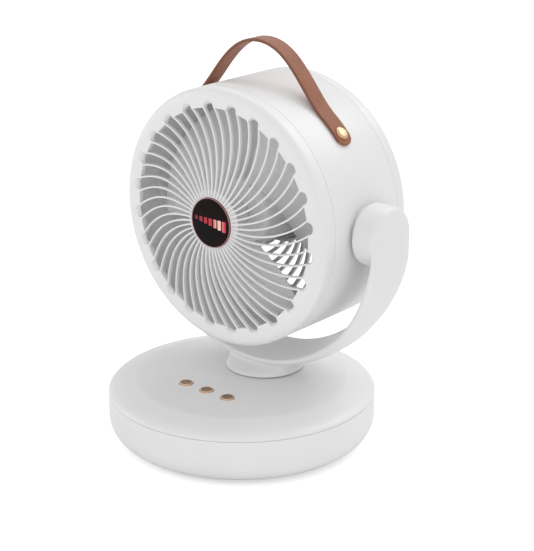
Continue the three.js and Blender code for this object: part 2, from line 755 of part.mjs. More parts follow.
/** A geometry about Z laid along X and copied to both sides. */
function bothSides(make) {
  return [1, -1].map((side) => solid(make().rotateY((side * PI) / 2)));
}

/** Space inside the yoke: the band's channel and the two round hub pockets. */
function yokePocket() {
  const channel = yokeBand(
    YOKE_RIM,
    (share) => yokeInnerAt(share) - 3 * YOKE_COVER_T,
    (share) => Math.max(yokeOuterAt(share) - YOKE_WALL, yokeInnerAt(share) + YOKE_COVER_T + CLEAR),
    PLUG_FLOOR,
    [1, 0, -1],
  );
  const pockets = bothSides(() => rod(plugR, hubFaceX - LAP, YOKE_OUT_R - YOKE_WALL, MEDIUM));
  return join(channel, ...pockets);
}

/** U-shaped channel with a round, open-backed hub at the top of each arm. */
function yokeOuter() {
  const band = yokeBand(0, yokeInnerAt, yokeOuterAt, YOKE_BAND_RISE, YOKE_CROWN_SHARES);
  const hubs = bothSides(() => revolve([
    [0, hubFaceX],
    [HUB_R, hubFaceX],
    ...arc(HUB_R - HUB_EDGE, YOKE_OUT_R - HUB_EDGE, HUB_EDGE, 0, PI / 2, EDGE_STEPS),
    [0, YOKE_OUT_R],
  ]));
  return part('yoke_outer', cut(join(band, ...hubs), yokePocket()), WHITE);
}

/** Strip that closes the channel, with a cup at each end for the tilt pin. */
function yokeInnerCover() {
  const strip = yokeBand(
    YOKE_RIM + CLEAR,
    yokeInnerAt,
    (share) => yokeInnerAt(share) + YOKE_COVER_T,
    PLUG_FLOOR + CLEAR,
    [1, -1],
  );
  const cupR = plugR - CLEAR;
  const cupEnd = YOKE_OUT_R - YOKE_WALL - PLUG_SHORT;
  const cups = bothSides(() => rod(cupR, hubFaceX, cupEnd, MEDIUM));
  const hollows = bothSides(() => (
    rod(cupR - PLUG_WALL, hubFaceX + PLUG_FLOOR, YOKE_OUT_R, MEDIUM)));
  const bores = bothSides(() => rod(PIN_R + CLEAR, hubFaceX - LAP, YOKE_OUT_R, TURNED));
  return part('yoke_inner_cover', cut(join(strip, ...cups), ...hollows, ...bores), WHITE);
}

/** One of the pieces on the tilt axis, made about Z and turned to its side. */
function tiltPiece(kind, sideName, geometry, material) {
  const side = sideName === 'right' ? 1 : -1;
  return part(`${kind}_${sideName}`, solid(geometry.rotateY((side * PI) / 2)), material);
}

function tiltWasher(side) {
  const face = DRUM_R + DRUM_BOSS_PROUD + CLEAR;
  return tiltPiece('tilt_washer', side, tube(
    PIN_R + CLEAR, DRUM_BOSS_R - WASHER_MARGIN, face, hubFaceX - CLEAR, TURNED,
  ), NYLON);
}

/** Shoulder screw: its head in the yoke's cup, its end inside the drum. */
function tiltPin(side) {
  const headX = hubFaceX + PLUG_FLOOR + CLEAR;
  const endX = DRUM_R - DRUM_BOSS_DEPTH - NUT_T - PIN_BEYOND_NUT;
  return tiltPiece('tilt_pin', side, revolve([
    [0, endX],
    [PIN_R - CHAMFER, endX],
    [PIN_R, endX + CHAMFER],
    [PIN_R, headX],
    [PIN_HEAD_R, headX],
    [PIN_HEAD_R, headX + PIN_HEAD_T - CHAMFER],
    [PIN_HEAD_R - CHAMFER, headX + PIN_HEAD_T],
    [0, headX + PIN_HEAD_T],
  ], TURNED), STEEL);
}

function tiltNut(side) {
  const top = DRUM_R - DRUM_BOSS_DEPTH - CLEAR;
  const hexagon = new THREE.Shape(circlePath(NUT_R, 6).getPoints());
  hexagon.holes.push(circlePath(PIN_R + CLEAR / 2, TURNED));
  const geometry = new THREE.ExtrudeGeometry(hexagon, { depth: NUT_T, bevelEnabled: false });
  return tiltPiece('tilt_nut', side, geometry.translate(0, 0, top - NUT_T), STEEL);
}

// --------------------------------------------------------------------- head
// The head is made with its axis along Z, its front up (+Z) and its top at +Y,
// and its group then lays it down so that the front faces -Y.

/** Turns a geometry made about Z outwards, at an angle from the head's top. */
const radially = (geometry, angle) => geometry.rotateX(-PI / 2).rotateZ(-angle);

/** Plain drum wall with a boss for each tilt pin and a hole for each rivet. */
function drumShell() {
  const inner = DRUM_R - DRUM_WALL;
  const [rear, front] = [REAR_SEAM_Z + SEAM_GAP / 2, FRONT_SEAM_Z - SEAM_GAP / 2];
  const wall = solid(tube(inner, DRUM_R, rear, front, ROUND));
  const bosses = bothSides(() => (
    rod(DRUM_BOSS_R, DRUM_R - DRUM_BOSS_DEPTH, DRUM_R + DRUM_BOSS_PROUD, MEDIUM)));
  const bores = bothSides(() => (
    rod(PIN_R + CLEAR / 2, 0, DRUM_R + DRUM_BOSS_PROUD + LAP, TURNED)));
  const rivetHoles = [-STRAP_ANGLE, STRAP_ANGLE].map((angle) => solid(
    radially(rod(RIVET_SHANK_R + CLEAR, inner - LAP, DRUM_R + LAP), angle).translate(0, 0, STRAP_Z),
  ));
  return part('drum_shell', cut(join(wall, ...bosses), ...bores, ...rivetHoles), WHITE);
}

/** Height of the front grille's face at a radius. */
function domeZ(r) {
  const share = (GRILLE_R - r) / (GRILLE_R - GRILLE_HUB_R);
  const t = smooth(mix(DOME_FROM, DOME_TO, share)) - smooth(DOME_FROM);
  return FACE_Z + DOME_H * Math.max(t, 0) / (smooth(DOME_TO) - smooth(DOME_FROM));
}

/** Angle that a spiral rib has turned through at a radius. */
function sweepAt(r, innerR, outerR, sweep) {
  return sweep * Math.max((r - innerR) / (outerR - innerR), 0) ** SWEEP_POWER;
}

/**
 * One slot between two neighbouring ribs. `wide` gives a rib's width at a radius
 * and `arch` the height of the slot's rounded outer end, 0 for a square one.
 */
function slotPath({ index, count, innerR, outerR, sweep, wide, arch, radii }) {
  const pitch = (2 * PI) / count;
  const side = (r, sign) => {
    const step = 0.5;
    const slope = (sweepAt(r, innerR, outerR, sweep) - sweepAt(r - step, innerR, outerR, sweep)) / step;
    const lean = Math.hypot(1, r * slope);
    const middle = (index + 0.5) * pitch + sweepAt(r, innerR, outerR, sweep);
    return middle + sign * (pitch / 2 - (wide(r) / 2) * lean / r);
  };
  const at = (r, a) => new THREE.Vector2(r * Math.cos(a), r * Math.sin(a));
  const up = radii.map((r) => at(r, side(r, -1)));
  const down = [...radii].reverse().map((r) => at(r, side(r, 1)));
  const [a0, a1] = [side(outerR, -1), side(outerR, 1)];
  const bends = arch > 0 ? ARCH_BENDS : 0;
  const crown = Array.from({ length: Math.max(bends - 1, 0) }, (_, i) => {
    const t = (PI * (i + 1)) / bends;
    return at(outerR + arch * Math.sin(t), mix(a0, a1, (1 - Math.cos(t)) / 2));
  });
  return new THREE.Path([...up, ...crown, ...down]);
}

/** Flat plate with slots, its two faces then lifted to the height at each radius. */
function slottedPlate(plateR, slots, thick, heightAt, facets) {
  const plate = new THREE.Shape(circlePath(plateR, facets).getPoints());
  plate.holes.push(...slots);
  const geometry = new THREE.ExtrudeGeometry(plate, { depth: thick, bevelEnabled: false });
  const position = geometry.attributes.position;
  for (let i = 0; i < position.count; i += 1) {
    const height = heightAt(Math.hypot(position.getX(i), position.getY(i)));
    position.setZ(i, position.getZ(i) - thick + height);
  }
  return solid(geometry);
}

/** Bezel, spiral ribs and hub in one moulding. */
function frontGrille() {
  const radii = RIB_BENDS.map((t) => mix(GRILLE_HUB_R, GRILLE_R, t));
  const slots = Array.from({ length: RIBS }, (_, index) => slotPath({
    index,
    count: RIBS,
    innerR: GRILLE_HUB_R,
    outerR: GRILLE_R,
    sweep: RIB_SWEEP,
    wide: (r) => mix(RIB_HUB_W, RIB_W, (r - GRILLE_HUB_R) / (GRILLE_R - GRILLE_HUB_R)),
    arch: index % 2 === 0 ? ARCH_H : 0,
    radii,
  }));
  const plateR = DRUM_R - FACE_EDGE;
  const plate = slottedPlate(plateR, slots, RIB_T, domeZ, ROUND);
  const rim = FRONT_SEAM_Z + SEAM_GAP / 2;
  const inner = DRUM_R - DRUM_WALL;
  const tongueR = inner - CLEAR;
  const bezel = solid(revolve([
    [plateR - LAP, FACE_Z - RIB_T],
    [tongueR - TONGUE_T, FACE_Z - RIB_T - TONGUE_T],
    [tongueR - TONGUE_T, FRONT_SEAM_Z - TONGUE_H],
    [tongueR, FRONT_SEAM_Z - TONGUE_H],
    [tongueR, rim],
    [DRUM_R, rim],
    ...arc(plateR, FACE_Z - FACE_EDGE, FACE_EDGE, 0, PI / 2, EDGE_STEPS),
    [plateR - LAP, FACE_Z],
    [plateR - LAP, FACE_Z - RIB_T],
  ], ROUND));
  const hub = solid(rod(
    HUB_DISC_R, grilleHubZ - RIB_T, grilleHubZ + HUB_DISC_RISE, MEDIUM,
  ));
  const recess = solid(rod(
    BADGE_R + BADGE_RING_W + 2 * CLEAR, badgeTopZ - BADGE_T - CLEAR, badgeTopZ + LAP, MEDIUM,
  ));
  return part('front_grille', cut(join(plate, bezel, hub), recess), WHITE);
}

function badgeDisc() {
  return part('badge_disc', solid(revolve([
    [0, badgeTopZ - BADGE_T],
    [BADGE_R, badgeTopZ - BADGE_T],
    [BADGE_R, badgeTopZ - CHAMFER],
    [BADGE_R - CHAMFER, badgeTopZ],
    [0, badgeTopZ],
  ])), BLACK);
}

function badgeRing() {
  const inner = BADGE_R + CLEAR;
  return part('badge_ring', solid(tube(
    inner, inner + BADGE_RING_W, badgeTopZ - BADGE_T, badgeTopZ + BADGE_RING_PROUD,
  )), ROSE);
}

/** Rear shell: rounded edge, spiral slots and the cup that holds the motor. */
function rearGrille() {
  const radii = REAR_RIB_BENDS.map((t) => mix(REAR_HUB_R, REAR_GRILLE_R, t));
  const slots = Array.from({ length: REAR_RIBS }, (_, index) => slotPath({
    index,
    count: REAR_RIBS,
    innerR: REAR_HUB_R,
    outerR: REAR_GRILLE_R,
    sweep: -REAR_SWEEP,
    wide: () => REAR_RIB_W,
    arch: 0,
    radii,
  }));
  const plateR = DRUM_R - REAR_EDGE;
  const plate = slottedPlate(plateR, slots, REAR_PLATE_T, () => REAR_Z + REAR_PLATE_T, ROUND);
  const rim = REAR_SEAM_Z - SEAM_GAP / 2;
  const inner = DRUM_R - DRUM_WALL;
  const tongueR = inner - CLEAR;
  const edge = solid(revolve([
    [plateR - LAP, REAR_Z + REAR_PLATE_T],
    [plateR - LAP, REAR_Z],
    ...arc(plateR, REAR_Z + REAR_EDGE, REAR_EDGE, -PI / 2, 0, EDGE_STEPS),
    [DRUM_R, rim],
    [tongueR, rim],
    [tongueR, REAR_SEAM_Z + TONGUE_H],
    [tongueR - TONGUE_T, REAR_SEAM_Z + TONGUE_H],
    [tongueR - TONGUE_T, REAR_Z + REAR_EDGE - LAP],
    [plateR - LAP, REAR_Z + REAR_PLATE_T],
  ], ROUND));
  const cup = solid(tube(CUP_R - CUP_WALL, CUP_R, REAR_Z + LAP, MOTOR_FRONT_Z - CUP_SHORT));
  return part('rear_grille', join(plate, edge, cup), WHITE);
}

function motorBody() {
  const radius = CUP_R - CUP_WALL - CLEAR;
  const back = REAR_Z + REAR_PLATE_T + CLEAR;
  const noseZ = MOTOR_FRONT_Z + MOTOR_NOSE_H;
  const can = solid(revolve([
    [0, back],
    [radius - MOTOR_EDGE, back],
    [radius, back + MOTOR_EDGE],
    [radius, MOTOR_FRONT_Z - MOTOR_EDGE],
    [radius - MOTOR_EDGE, MOTOR_FRONT_Z],
    [MOTOR_NOSE_R, MOTOR_FRONT_Z],
    [MOTOR_NOSE_R, noseZ],
    [0, noseZ],
  ]));
  const bore = solid(rod(SHAFT_R + RUNNING, back + MOTOR_EDGE, noseZ + LAP));
  return part('fan_motor', cut(can, bore), STEEL);
}

function motorShaft() {
  const back = REAR_Z + REAR_PLATE_T + SHAFT_BACK + CLEAR;
  const end = IMPELLER_HUB_FRONT_Z + SPINNER_H - SPINNER_CROWN;
  return part('motor_shaft', solid(rod(SHAFT_R, back, end)), STEEL);
}

/** One blade: a cambered plate that leans from its leading to its rear edge. */
function blade(turn) {
  const grid = (side) => Array.from({ length: BLADE_LOOPS + 1 }, (_, i) => {
    const t = i / BLADE_LOOPS;
    const r = mix(IMPELLER_HUB_R - IMPELLER_WALL / 2, BLADE_R, t);
    const depth = mix(BLADE_DEPTH, BLADE_TIP_DEPTH, t);
    const span = BLADE_SPAN * mix(BLADE_ROOT, 1, Math.sin(PI * t));
    const lag = BLADE_LAG * t * t;
    return Array.from({ length: BLADE_ACROSS + 1 }, (__, k) => {
      const v = k / BLADE_ACROSS;
      const a = turn + lag + (v - 0.5) * span - BLADE_CLIP * t * t * v;
      const camber = BLADE_CAMBER * depth * Math.sin(PI * v);
      const thin = Math.sqrt(Math.sin(PI * mix(BLADE_EDGE, 1 - BLADE_EDGE, v)));
      const z = BLADE_Z + (v - 0.5) * depth + camber + (side * BLADE_T * thin) / 2;
      return [r * Math.cos(a), r * Math.sin(a), z];
    });
  });
  return solid(slab(grid(1), grid(-1)));
}

/** Three broad blades round a hub that is hollow behind. */
function impeller() {
  const shoulderR = IMPELLER_HUB_R - IMPELLER_NOSE;
  const shoulderZ = IMPELLER_HUB_FRONT_Z - IMPELLER_NOSE;
  const innerR = IMPELLER_HUB_R - IMPELLER_WALL;
  const hub = solid(revolve([
    [0, IMPELLER_HUB_FRONT_Z],
    [SPINNER_R + IMPELLER_SEAT, IMPELLER_HUB_FRONT_Z],
    ...arc(shoulderR, shoulderZ, IMPELLER_NOSE, PI / 2, 0, EDGE_STEPS),
    [IMPELLER_HUB_R, IMPELLER_HUB_REAR_Z],
    [innerR, IMPELLER_HUB_REAR_Z],
    [innerR, shoulderZ],
    [shoulderR, IMPELLER_HUB_FRONT_Z - IMPELLER_WALL],
    [IMPELLER_BOSS_R, IMPELLER_HUB_FRONT_Z - IMPELLER_WALL],
    [IMPELLER_BOSS_R, IMPELLER_HUB_REAR_Z + IMPELLER_BOSS_SHORT],
    [0, IMPELLER_HUB_REAR_Z + IMPELLER_BOSS_SHORT],
  ]));
  const blades = around(BLADES, 1, BLADE_PHASE).map(([, , a]) => blade(a));
  const bore = solid(rod(SHAFT_R + CLEAR / 2, IMPELLER_HUB_REAR_Z, IMPELLER_HUB_FRONT_Z + LAP));
  return part('impeller', cut(join(hub, ...blades), bore), PALE);
}

/** Domed nut that holds the impeller on its shaft. */
function spinnerNut() {
  const back = IMPELLER_HUB_FRONT_Z + CLEAR;
  const skirt = back + SPINNER_SKIRT;
  const boreEnd = IMPELLER_HUB_FRONT_Z + SPINNER_H - SPINNER_CROWN + CLEAR;
  const dome = arc(0, 0, SPINNER_R, 0, PI / 2, EDGE_STEPS).map(([r, z]) => (
    [r, skirt + (z / SPINNER_R) * (SPINNER_H - SPINNER_SKIRT)]));
  return part('spinner_nut', cut(
    solid(revolve([[0, back], [SPINNER_R, back], ...dome], TURNED)),
    solid(rod(SHAFT_R + CLEAR / 2, back - LAP, boreEnd)),
  ), DARK);
}

// ------------------------------------------------------------- strap handle

/** Points of the strap's middle line, left to right, in the head's XY plane. */
function strapLine() {
  const r = DRUM_R + CLEAR + STRAP_T / 2;
  const tip = STRAP_ANGLE + STRAP_END / r;
  const onDrum = (a) => [r * Math.sin(a), r * Math.cos(a)];
  const liftAngle = STRAP_ANGLE - STRAP_HUG;
  const lift = onDrum(liftAngle);
  const along = [-Math.cos(liftAngle), Math.sin(liftAngle)];
  const lay = Array.from({ length: STRAP_LAY_STEPS }, (_, i) => (
    onDrum(mix(tip, liftAngle, i / STRAP_LAY_STEPS))));
  const sweep = bezier(
    lift,
    [lift[0] + along[0] * STRAP_RISE, lift[1] + along[1] * STRAP_RISE],
    [STRAP_TOP_PULL, STRAP_CROWN],
    [0, STRAP_CROWN],
    STRAP_STEPS,
  );
  const right = [...lay, ...sweep];
  const left = right.slice(0, -1).map(([x, y]) => [-x, y]);
  return [...left, ...right.reverse()];
}

/** Leather band riveted at both ends, each end rounded. */
function strapHandle() {
  const line = strapLine();
  const lengths = [0];
  for (let i = 1; i < line.length; i += 1) {
    const step = Math.hypot(line[i][0] - line[i - 1][0], line[i][1] - line[i - 1][1]);
    lengths.push(lengths[i - 1] + step);
  }
  const total = lengths[lengths.length - 1];
  const loops = line.map(([x, y], i) => {
    const before = line[Math.max(i - 1, 0)];
    const after = line[Math.min(i + 1, line.length - 1)];
    const run = Math.hypot(after[0] - before[0], after[1] - before[1]);
    const [nx, ny] = [-(after[1] - before[1]) / run, (after[0] - before[0]) / run];
    const end = Math.min(lengths[i], total - lengths[i], STRAP_W / 2);
    const half = Math.max(Math.sqrt(STRAP_W * end - end * end), STRAP_W * STRAP_TIP);
    const h = STRAP_T / 2;
    return [[-half, -h], [half, -h], [half, h], [-half, h]].map(([w, t]) => (
      [x + nx * t, y + ny * t, STRAP_Z + w]));
  });
  const holes = [-STRAP_ANGLE, STRAP_ANGLE].map((angle) => solid(
    radially(rod(RIVET_SHANK_R + CLEAR, DRUM_R - LAP, DRUM_R + 2 * STRAP_T), angle)
      .translate(0, 0, STRAP_Z),
  ));
  return part('strap_handle', cut(solid(loft(loops.reverse())), ...holes), LEATHER);
}

/** Rivet through the strap and the drum's wall, spread on the inside. */
function strapRivet(sideName) {
  const angle = sideName === 'right' ? STRAP_ANGLE : -STRAP_ANGLE;
  const outside = DRUM_R + STRAP_T + 2 * CLEAR;
  const inside = DRUM_R - DRUM_WALL - 2 * CLEAR;
  const geometry = revolve([
    [0, inside - RIVET_TAIL_T],
    [RIVET_TAIL_R, inside - RIVET_TAIL_T],
    [RIVET_TAIL_R, inside],
    [RIVET_SHANK_R, inside],
    [RIVET_SHANK_R, outside],
    [RIVET_R, outside],
    ...RIVET_DOME.map(([r, z]) => [RIVET_R * r, outside + RIVET_H * z]),
    [0, outside + RIVET_H],
  ], SMALL);
  const shape = solid(radially(geometry, angle).translate(0, 0, STRAP_Z));
  return part(`strap_rivet_${sideName}`, shape, BRASS);
}

// ----------------------------------------------------------------- assembly

const group = (...children) => {
  const made = new THREE.Group();
  made.add(...children);
  return made;
};

const base = group(
  baseLowerShell(),
  baseTopCover(),
  ballastPlate(),
  ...rubberFeet(),
  ...baseScrews(),
  ...buttons(),
  ...switches(),
  controlBoard(),
  ...boardScrews(),
  dcInlet(),
);

const swing = group(
  swingMotor(),
  swingShaft(),
  drivePinion(),
  swingGear(),
  gearClip(),
  thrustRing(),
  swivelColumn(),
);
swing.position.set(0, PIVOT_Y, 0);

const yoke = group(
  yokeOuter(),
  yokeInnerCover(),
  ...['left', 'right'].flatMap((side) => [tiltWasher(side), tiltPin(side), tiltNut(side)]),
);
yoke.position.set(0, PIVOT_Y, PIVOT_Z);

const head = group(
  drumShell(),
  frontGrille(),
  badgeDisc(),
  badgeRing(),
  rearGrille(),
  motorBody(),
  motorShaft(),
  impeller(),
  spinnerNut(),
  strapHandle(),
  strapRivet('left'),
  strapRivet('right'),
);
head.rotation.x = PI / 2;
head.position.set(0, PIVOT_Y, PIVOT_Z);

const airCirculator = group(base, swing, yoke, head);

export default airCirculator;
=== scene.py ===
"""Desk air circulator: its smooth shells, spiral grilles, fan wheel, yoke and strap.

Pieces are drawn in millimetres about their own axis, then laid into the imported
frame in metres. The fan blows towards -Y and stands on z = 0.
"""

from __future__ import annotations

import json
import logging
import math
from dataclasses import dataclass
from enum import Enum
from typing import Any, Callable, Iterable, Sequence, Union

import bpy
import numpy as np
from mathutils import Matrix, Vector

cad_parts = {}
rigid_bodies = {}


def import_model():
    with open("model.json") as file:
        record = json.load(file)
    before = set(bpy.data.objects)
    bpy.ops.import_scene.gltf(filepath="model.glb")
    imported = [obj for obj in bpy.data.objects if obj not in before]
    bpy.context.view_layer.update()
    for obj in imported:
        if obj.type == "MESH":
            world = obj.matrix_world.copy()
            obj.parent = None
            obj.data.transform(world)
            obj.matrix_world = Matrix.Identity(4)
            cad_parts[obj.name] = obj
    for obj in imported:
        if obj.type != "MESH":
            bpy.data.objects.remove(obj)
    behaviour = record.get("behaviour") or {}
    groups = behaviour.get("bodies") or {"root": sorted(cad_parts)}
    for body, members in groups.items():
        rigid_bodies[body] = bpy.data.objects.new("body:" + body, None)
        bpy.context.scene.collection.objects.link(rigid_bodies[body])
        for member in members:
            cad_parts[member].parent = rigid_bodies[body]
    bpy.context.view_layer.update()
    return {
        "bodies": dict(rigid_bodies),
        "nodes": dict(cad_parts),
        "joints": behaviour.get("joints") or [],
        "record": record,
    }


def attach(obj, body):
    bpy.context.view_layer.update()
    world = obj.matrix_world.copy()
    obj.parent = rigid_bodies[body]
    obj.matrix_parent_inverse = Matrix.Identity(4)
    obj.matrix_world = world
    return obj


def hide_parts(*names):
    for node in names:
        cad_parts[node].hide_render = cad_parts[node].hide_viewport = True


LOG = logging.getLogger("air_circulator")

Pair = tuple[float, float]
Triple = tuple[float, float, float]  # a point, a colour, or a corner (r, z, rounding)
Outline = list[Pair]
Amount = Union[float, "Wire"]
Thing = bpy.types.Object
Material = bpy.types.Material
Mesh = bpy.types.Mesh

MM = 0.001
FULL_TURN = 2 * math.pi
QUARTER = math.pi / 2
TINY = 1e-6
FINE = 192  # facets of the base and the rear shell
ROUND = 128  # facets of hubs and discs
RING = 96  # facets of bosses and rings
SMALL = 64  # facets of rods and rivets
TILT_Y = 28.0
TILT_Z = 182.0
SHARP = math.radians(34)


# ---------------------------------------------------------------- placing


class Axis(Enum):
    """Where the Z axis of a piece lies in the frame."""

    BASE = "base"
    SWIVEL = "swivel"
    TILT = "tilt"
    HEAD = "head"
    RIGHT = "right"
    LEFT = "left"

    def matrix(self) -> Matrix:
        """The move from the piece's own millimetres to the frame's metres.

        Returns:
            The matrix.
        """
        pivot = Matrix.Translation((0, TILT_Y, TILT_Z))
        places = {
            Axis.BASE: Matrix.Identity(4),
            Axis.SWIVEL: Matrix.Translation((0, TILT_Y, 0)),
            Axis.TILT: pivot,
            Axis.HEAD: pivot @ Matrix.Rotation(QUARTER, 4, "X"),
            Axis.RIGHT: pivot @ Matrix.Rotation(QUARTER, 4, "Y"),
            Axis.LEFT: pivot @ Matrix.Rotation(-QUARTER, 4, "Y"),
        }
        return Matrix.Scale(MM, 4) @ places[self]


class Line(Enum):
    """An axis of the frame."""

    X = 0
    Y = 1
    Z = 2


class Change(Enum):
    """How a tool changes a solid."""

    CUT = "DIFFERENCE"
    JOIN = "UNION"


class Curve(Enum):
    """How a ramp rises."""

    STRAIGHT = "LINEAR"
    SMOOTH = "SMOOTHSTEP"


def mixed(a: Amount, b: Amount, t: Amount) -> Amount:
    """The value a share t of the way from a to b."""
    return a + (b - a) * t


def eased(t: float) -> float:
    """A smooth step from 0 to 1."""
    u = min(max(t, 0.0), 1.0)
    return u * u * (3 - 2 * u)


# ------------------------------------------------------------------ forms


@dataclass
class Form:
    """A closed shell in millimetres."""

    points: list[Triple]  # its vertices
    faces: list[tuple[int, ...]]  # vertex numbers of each face

    def outward(self) -> Form:
        """Turns the faces outwards.

        Returns:
            This shell.
        """
        volume = 0.0
        for face in self.faces:
            a = Vector(self.points[face[0]])
            for j in range(1, len(face) - 1):
                b, c = Vector(self.points[face[j]]), Vector(self.points[face[j + 1]])
                volume += a.dot(b.cross(c))
        if volume < 0:
            self.faces = [tuple(reversed(face)) for face in self.faces]
        return self

    def moved(self, matrix: Matrix) -> Form:
        """A copy of this shell moved by a matrix."""
        return Form([tuple(matrix @ Vector(p)) for p in self.points], list(self.faces)).outward()

    def strewn(self, spots: Iterable[Pair]) -> Form:
        """Copies of this shell at several places (x, y), as one form."""
        return Form.joined(self.moved(Matrix.Translation((x, y, 0))) for x, y in spots)

    @staticmethod
    def joined(forms: Iterable[Form]) -> Form:
        """Puts several shells into one form.

        Args:
            forms: the shells.

        Returns:
            The form.
        """
        whole = Form([], [])
        for form in forms:
            start = len(whole.points)
            whole.points += form.points
            whole.faces += [tuple(i + start for i in face) for face in form.faces]
        return whole

    @staticmethod
    def of(mesh: Mesh) -> Form:
        """The form of a mesh, in its own units."""
        points = [tuple(v.co) for v in mesh.vertices]
        return Form(points, [tuple(p.vertices) for p in mesh.polygons])

    def mesh(self, name: str) -> Mesh:
        """Makes a mesh of this form.

        Args:
            name: the mesh's name.

        Returns:
            The mesh.
        """
        made = bpy.data.meshes.new(name)
        made.from_pydata(self.points, [], self.faces)
        return made


def rounded(corners: Sequence[Triple], closed: bool = False, steps: int = 5) -> Outline:
    """Rounds the corners of an outline.

    Args:
        corners: points with the radius of their rounding.
        closed: whether the last point joins the first.
        steps: facets of each rounding.

    Returns:
        The outline's points; a closed one repeats its first point at its end.
    """
    line: Outline = []
    for i, (x, y, radius) in enumerate(corners):
        at_end = not closed and i in (0, len(corners) - 1)
        if radius <= 0 or at_end:
            line.append((x, y))
            continue
        here = Vector((x, y))
        back = Vector(corners[i - 1][:2]) - here
        on = Vector(corners[(i + 1) % len(corners)][:2]) - here
        half = back.angle(on) / 2
        reach = min(radius / math.tan(half), 0.49 * back.length, 0.49 * on.length)
        true_radius = reach * math.tan(half)
        back.normalize()
        on.normalize()
        centre = here + (back + on).normalized() * true_radius / math.sin(half)
        spoke = here + back * reach - centre
        turn = math.pi - 2 * half
        if back.cross(on) > 0:
            turn = -turn
        for k in range(steps + 1):
            line.append(tuple(centre + Matrix.Rotation(turn * k / steps, 2) @ spoke))
    if closed:
        line.append(line[0])
    return line


def turned(outline: Sequence[Pair], segments: int = FINE) -> Form:
    """Turns an outline about Z.

    Args:
        outline: points (r, z); it ends on the axis or on its own first point.
        segments: facets round the axis.

    Returns:
        The closed shell.
    """
    points: list[Triple] = []
    rows: list[list[int]] = []
    ring_closed = math.dist(outline[0], outline[-1]) < TINY
    for r, z in outline[:-1] if ring_closed else outline:
        if r < TINY:
            rows.append([len(points)])
            points.append((0.0, 0.0, z))
            continue
        rows.append(list(range(len(points), len(points) + segments)))
        points += [(x, y, z) for x, y in ring_of(segments, r)]
    if ring_closed:
        rows.append(rows[0])
    faces: list[tuple[int, ...]] = []
    for low, high in zip(rows, rows[1:]):
        for k in range(segments):
            n = (k + 1) % segments
            quad = (low[k % len(low)], low[n % len(low)], high[n % len(high)], high[k % len(high)])
            face = tuple(dict.fromkeys(quad))
            if len(face) > 2:
                faces.append(face)
    return Form(points, faces).outward()


def lofted(loops: Sequence[Sequence[Triple]], ring: bool = False) -> Form:
    """Joins equal loops of points side by side.

    Args:
        loops: the loops in order.
        ring: whether the last loop joins the first; otherwise both ends are capped.

    Returns:
        The closed shell.
    """
    size, count = len(loops[0]), len(loops)
    points = [tuple(p) for loop in loops for p in loop]
    faces: list[tuple[int, ...]] = []
    for i in range(count if ring else count - 1):
        for j in range(size):
            a, b = i * size + j, i * size + (j + 1) % size
            c, d = (i + 1) % count * size + j, (i + 1) % count * size + (j + 1) % size
            faces.append((a, b, d, c))
    if not ring:
        faces.append(tuple(reversed(range(size))))
        faces.append(tuple(range((count - 1) * size, count * size)))
    return Form(points, faces).outward()


def ring_of(count: int, radius: float, phase: float = 0.0) -> Outline:
    """Points at equal angles on a circle."""
    angles = [phase + FULL_TURN * k / count for k in range(count)]
    return [(radius * math.cos(a), radius * math.sin(a)) for a in angles]


def arc(centre: Pair, radius: float, start: float, end: float, steps: int) -> Outline:
    """Points on a part of a circle, from one angle to another."""
    angles = [mixed(start, end, k / steps) for k in range(steps + 1)]
    return [(centre[0] + radius * math.cos(a), centre[1] + radius * math.sin(a)) for a in angles]


def cubic(pulls: Sequence[Pair], steps: int) -> Outline:
    """Points on a cubic curve.

    Args:
        pulls: its start, the pulls of its two ends, and its end.
        steps: straight steps along it.

    Returns:
        steps + 1 points.
    """
    line = []
    for k in range(steps + 1):
        t = k / steps
        u = 1 - t
        weights = (u**3, 3 * u * u * t, 3 * u * t * t, t**3)
        line.append(tuple(sum(w * p[i] for w, p in zip(weights, pulls)) for i in (0, 1)))
    return line


def rod(radius: float, low: float, high: float, segments: int = SMALL) -> Form:
    """An upright cylinder."""
    return turned([(0, low), (radius, low), (radius, high), (0, high)], segments)


def plate(centre: Pair, size: Pair, rounding: float, steps: int = 4) -> Outline:
    """The outline of a rectangle with round corners.

    Args:
        centre: its middle.
        size: its width and height.
        rounding: radius of its corners.
        steps: facets of each corner.

    Returns:
        Its points.
    """
    (x, y), (w, h) = centre, (s / 2 for s in size)
    corners = [(x + a * w, y + b * h, rounding) for a, b in ((-1, -1), (1, -1), (1, 1), (-1, 1))]
    return rounded(corners, closed=True, steps=steps)[:-1]


def boxed(centre: Triple, size: Triple, rounding: float) -> Form:
    """A box with its four edges along Y rounded.

    Args:
        centre: its middle.
        size: its three sizes.
        rounding: radius of those edges.

    Returns:
        The closed shell.
    """
    outline = plate((centre[0], centre[2]), (size[0], size[2]), rounding)
    ends = (centre[1] - size[1] / 2, centre[1] + size[1] / 2)
    return lofted([[(x, y, z) for x, z in outline] for y in ends])


# ------------------------------------------------------------------ nodes


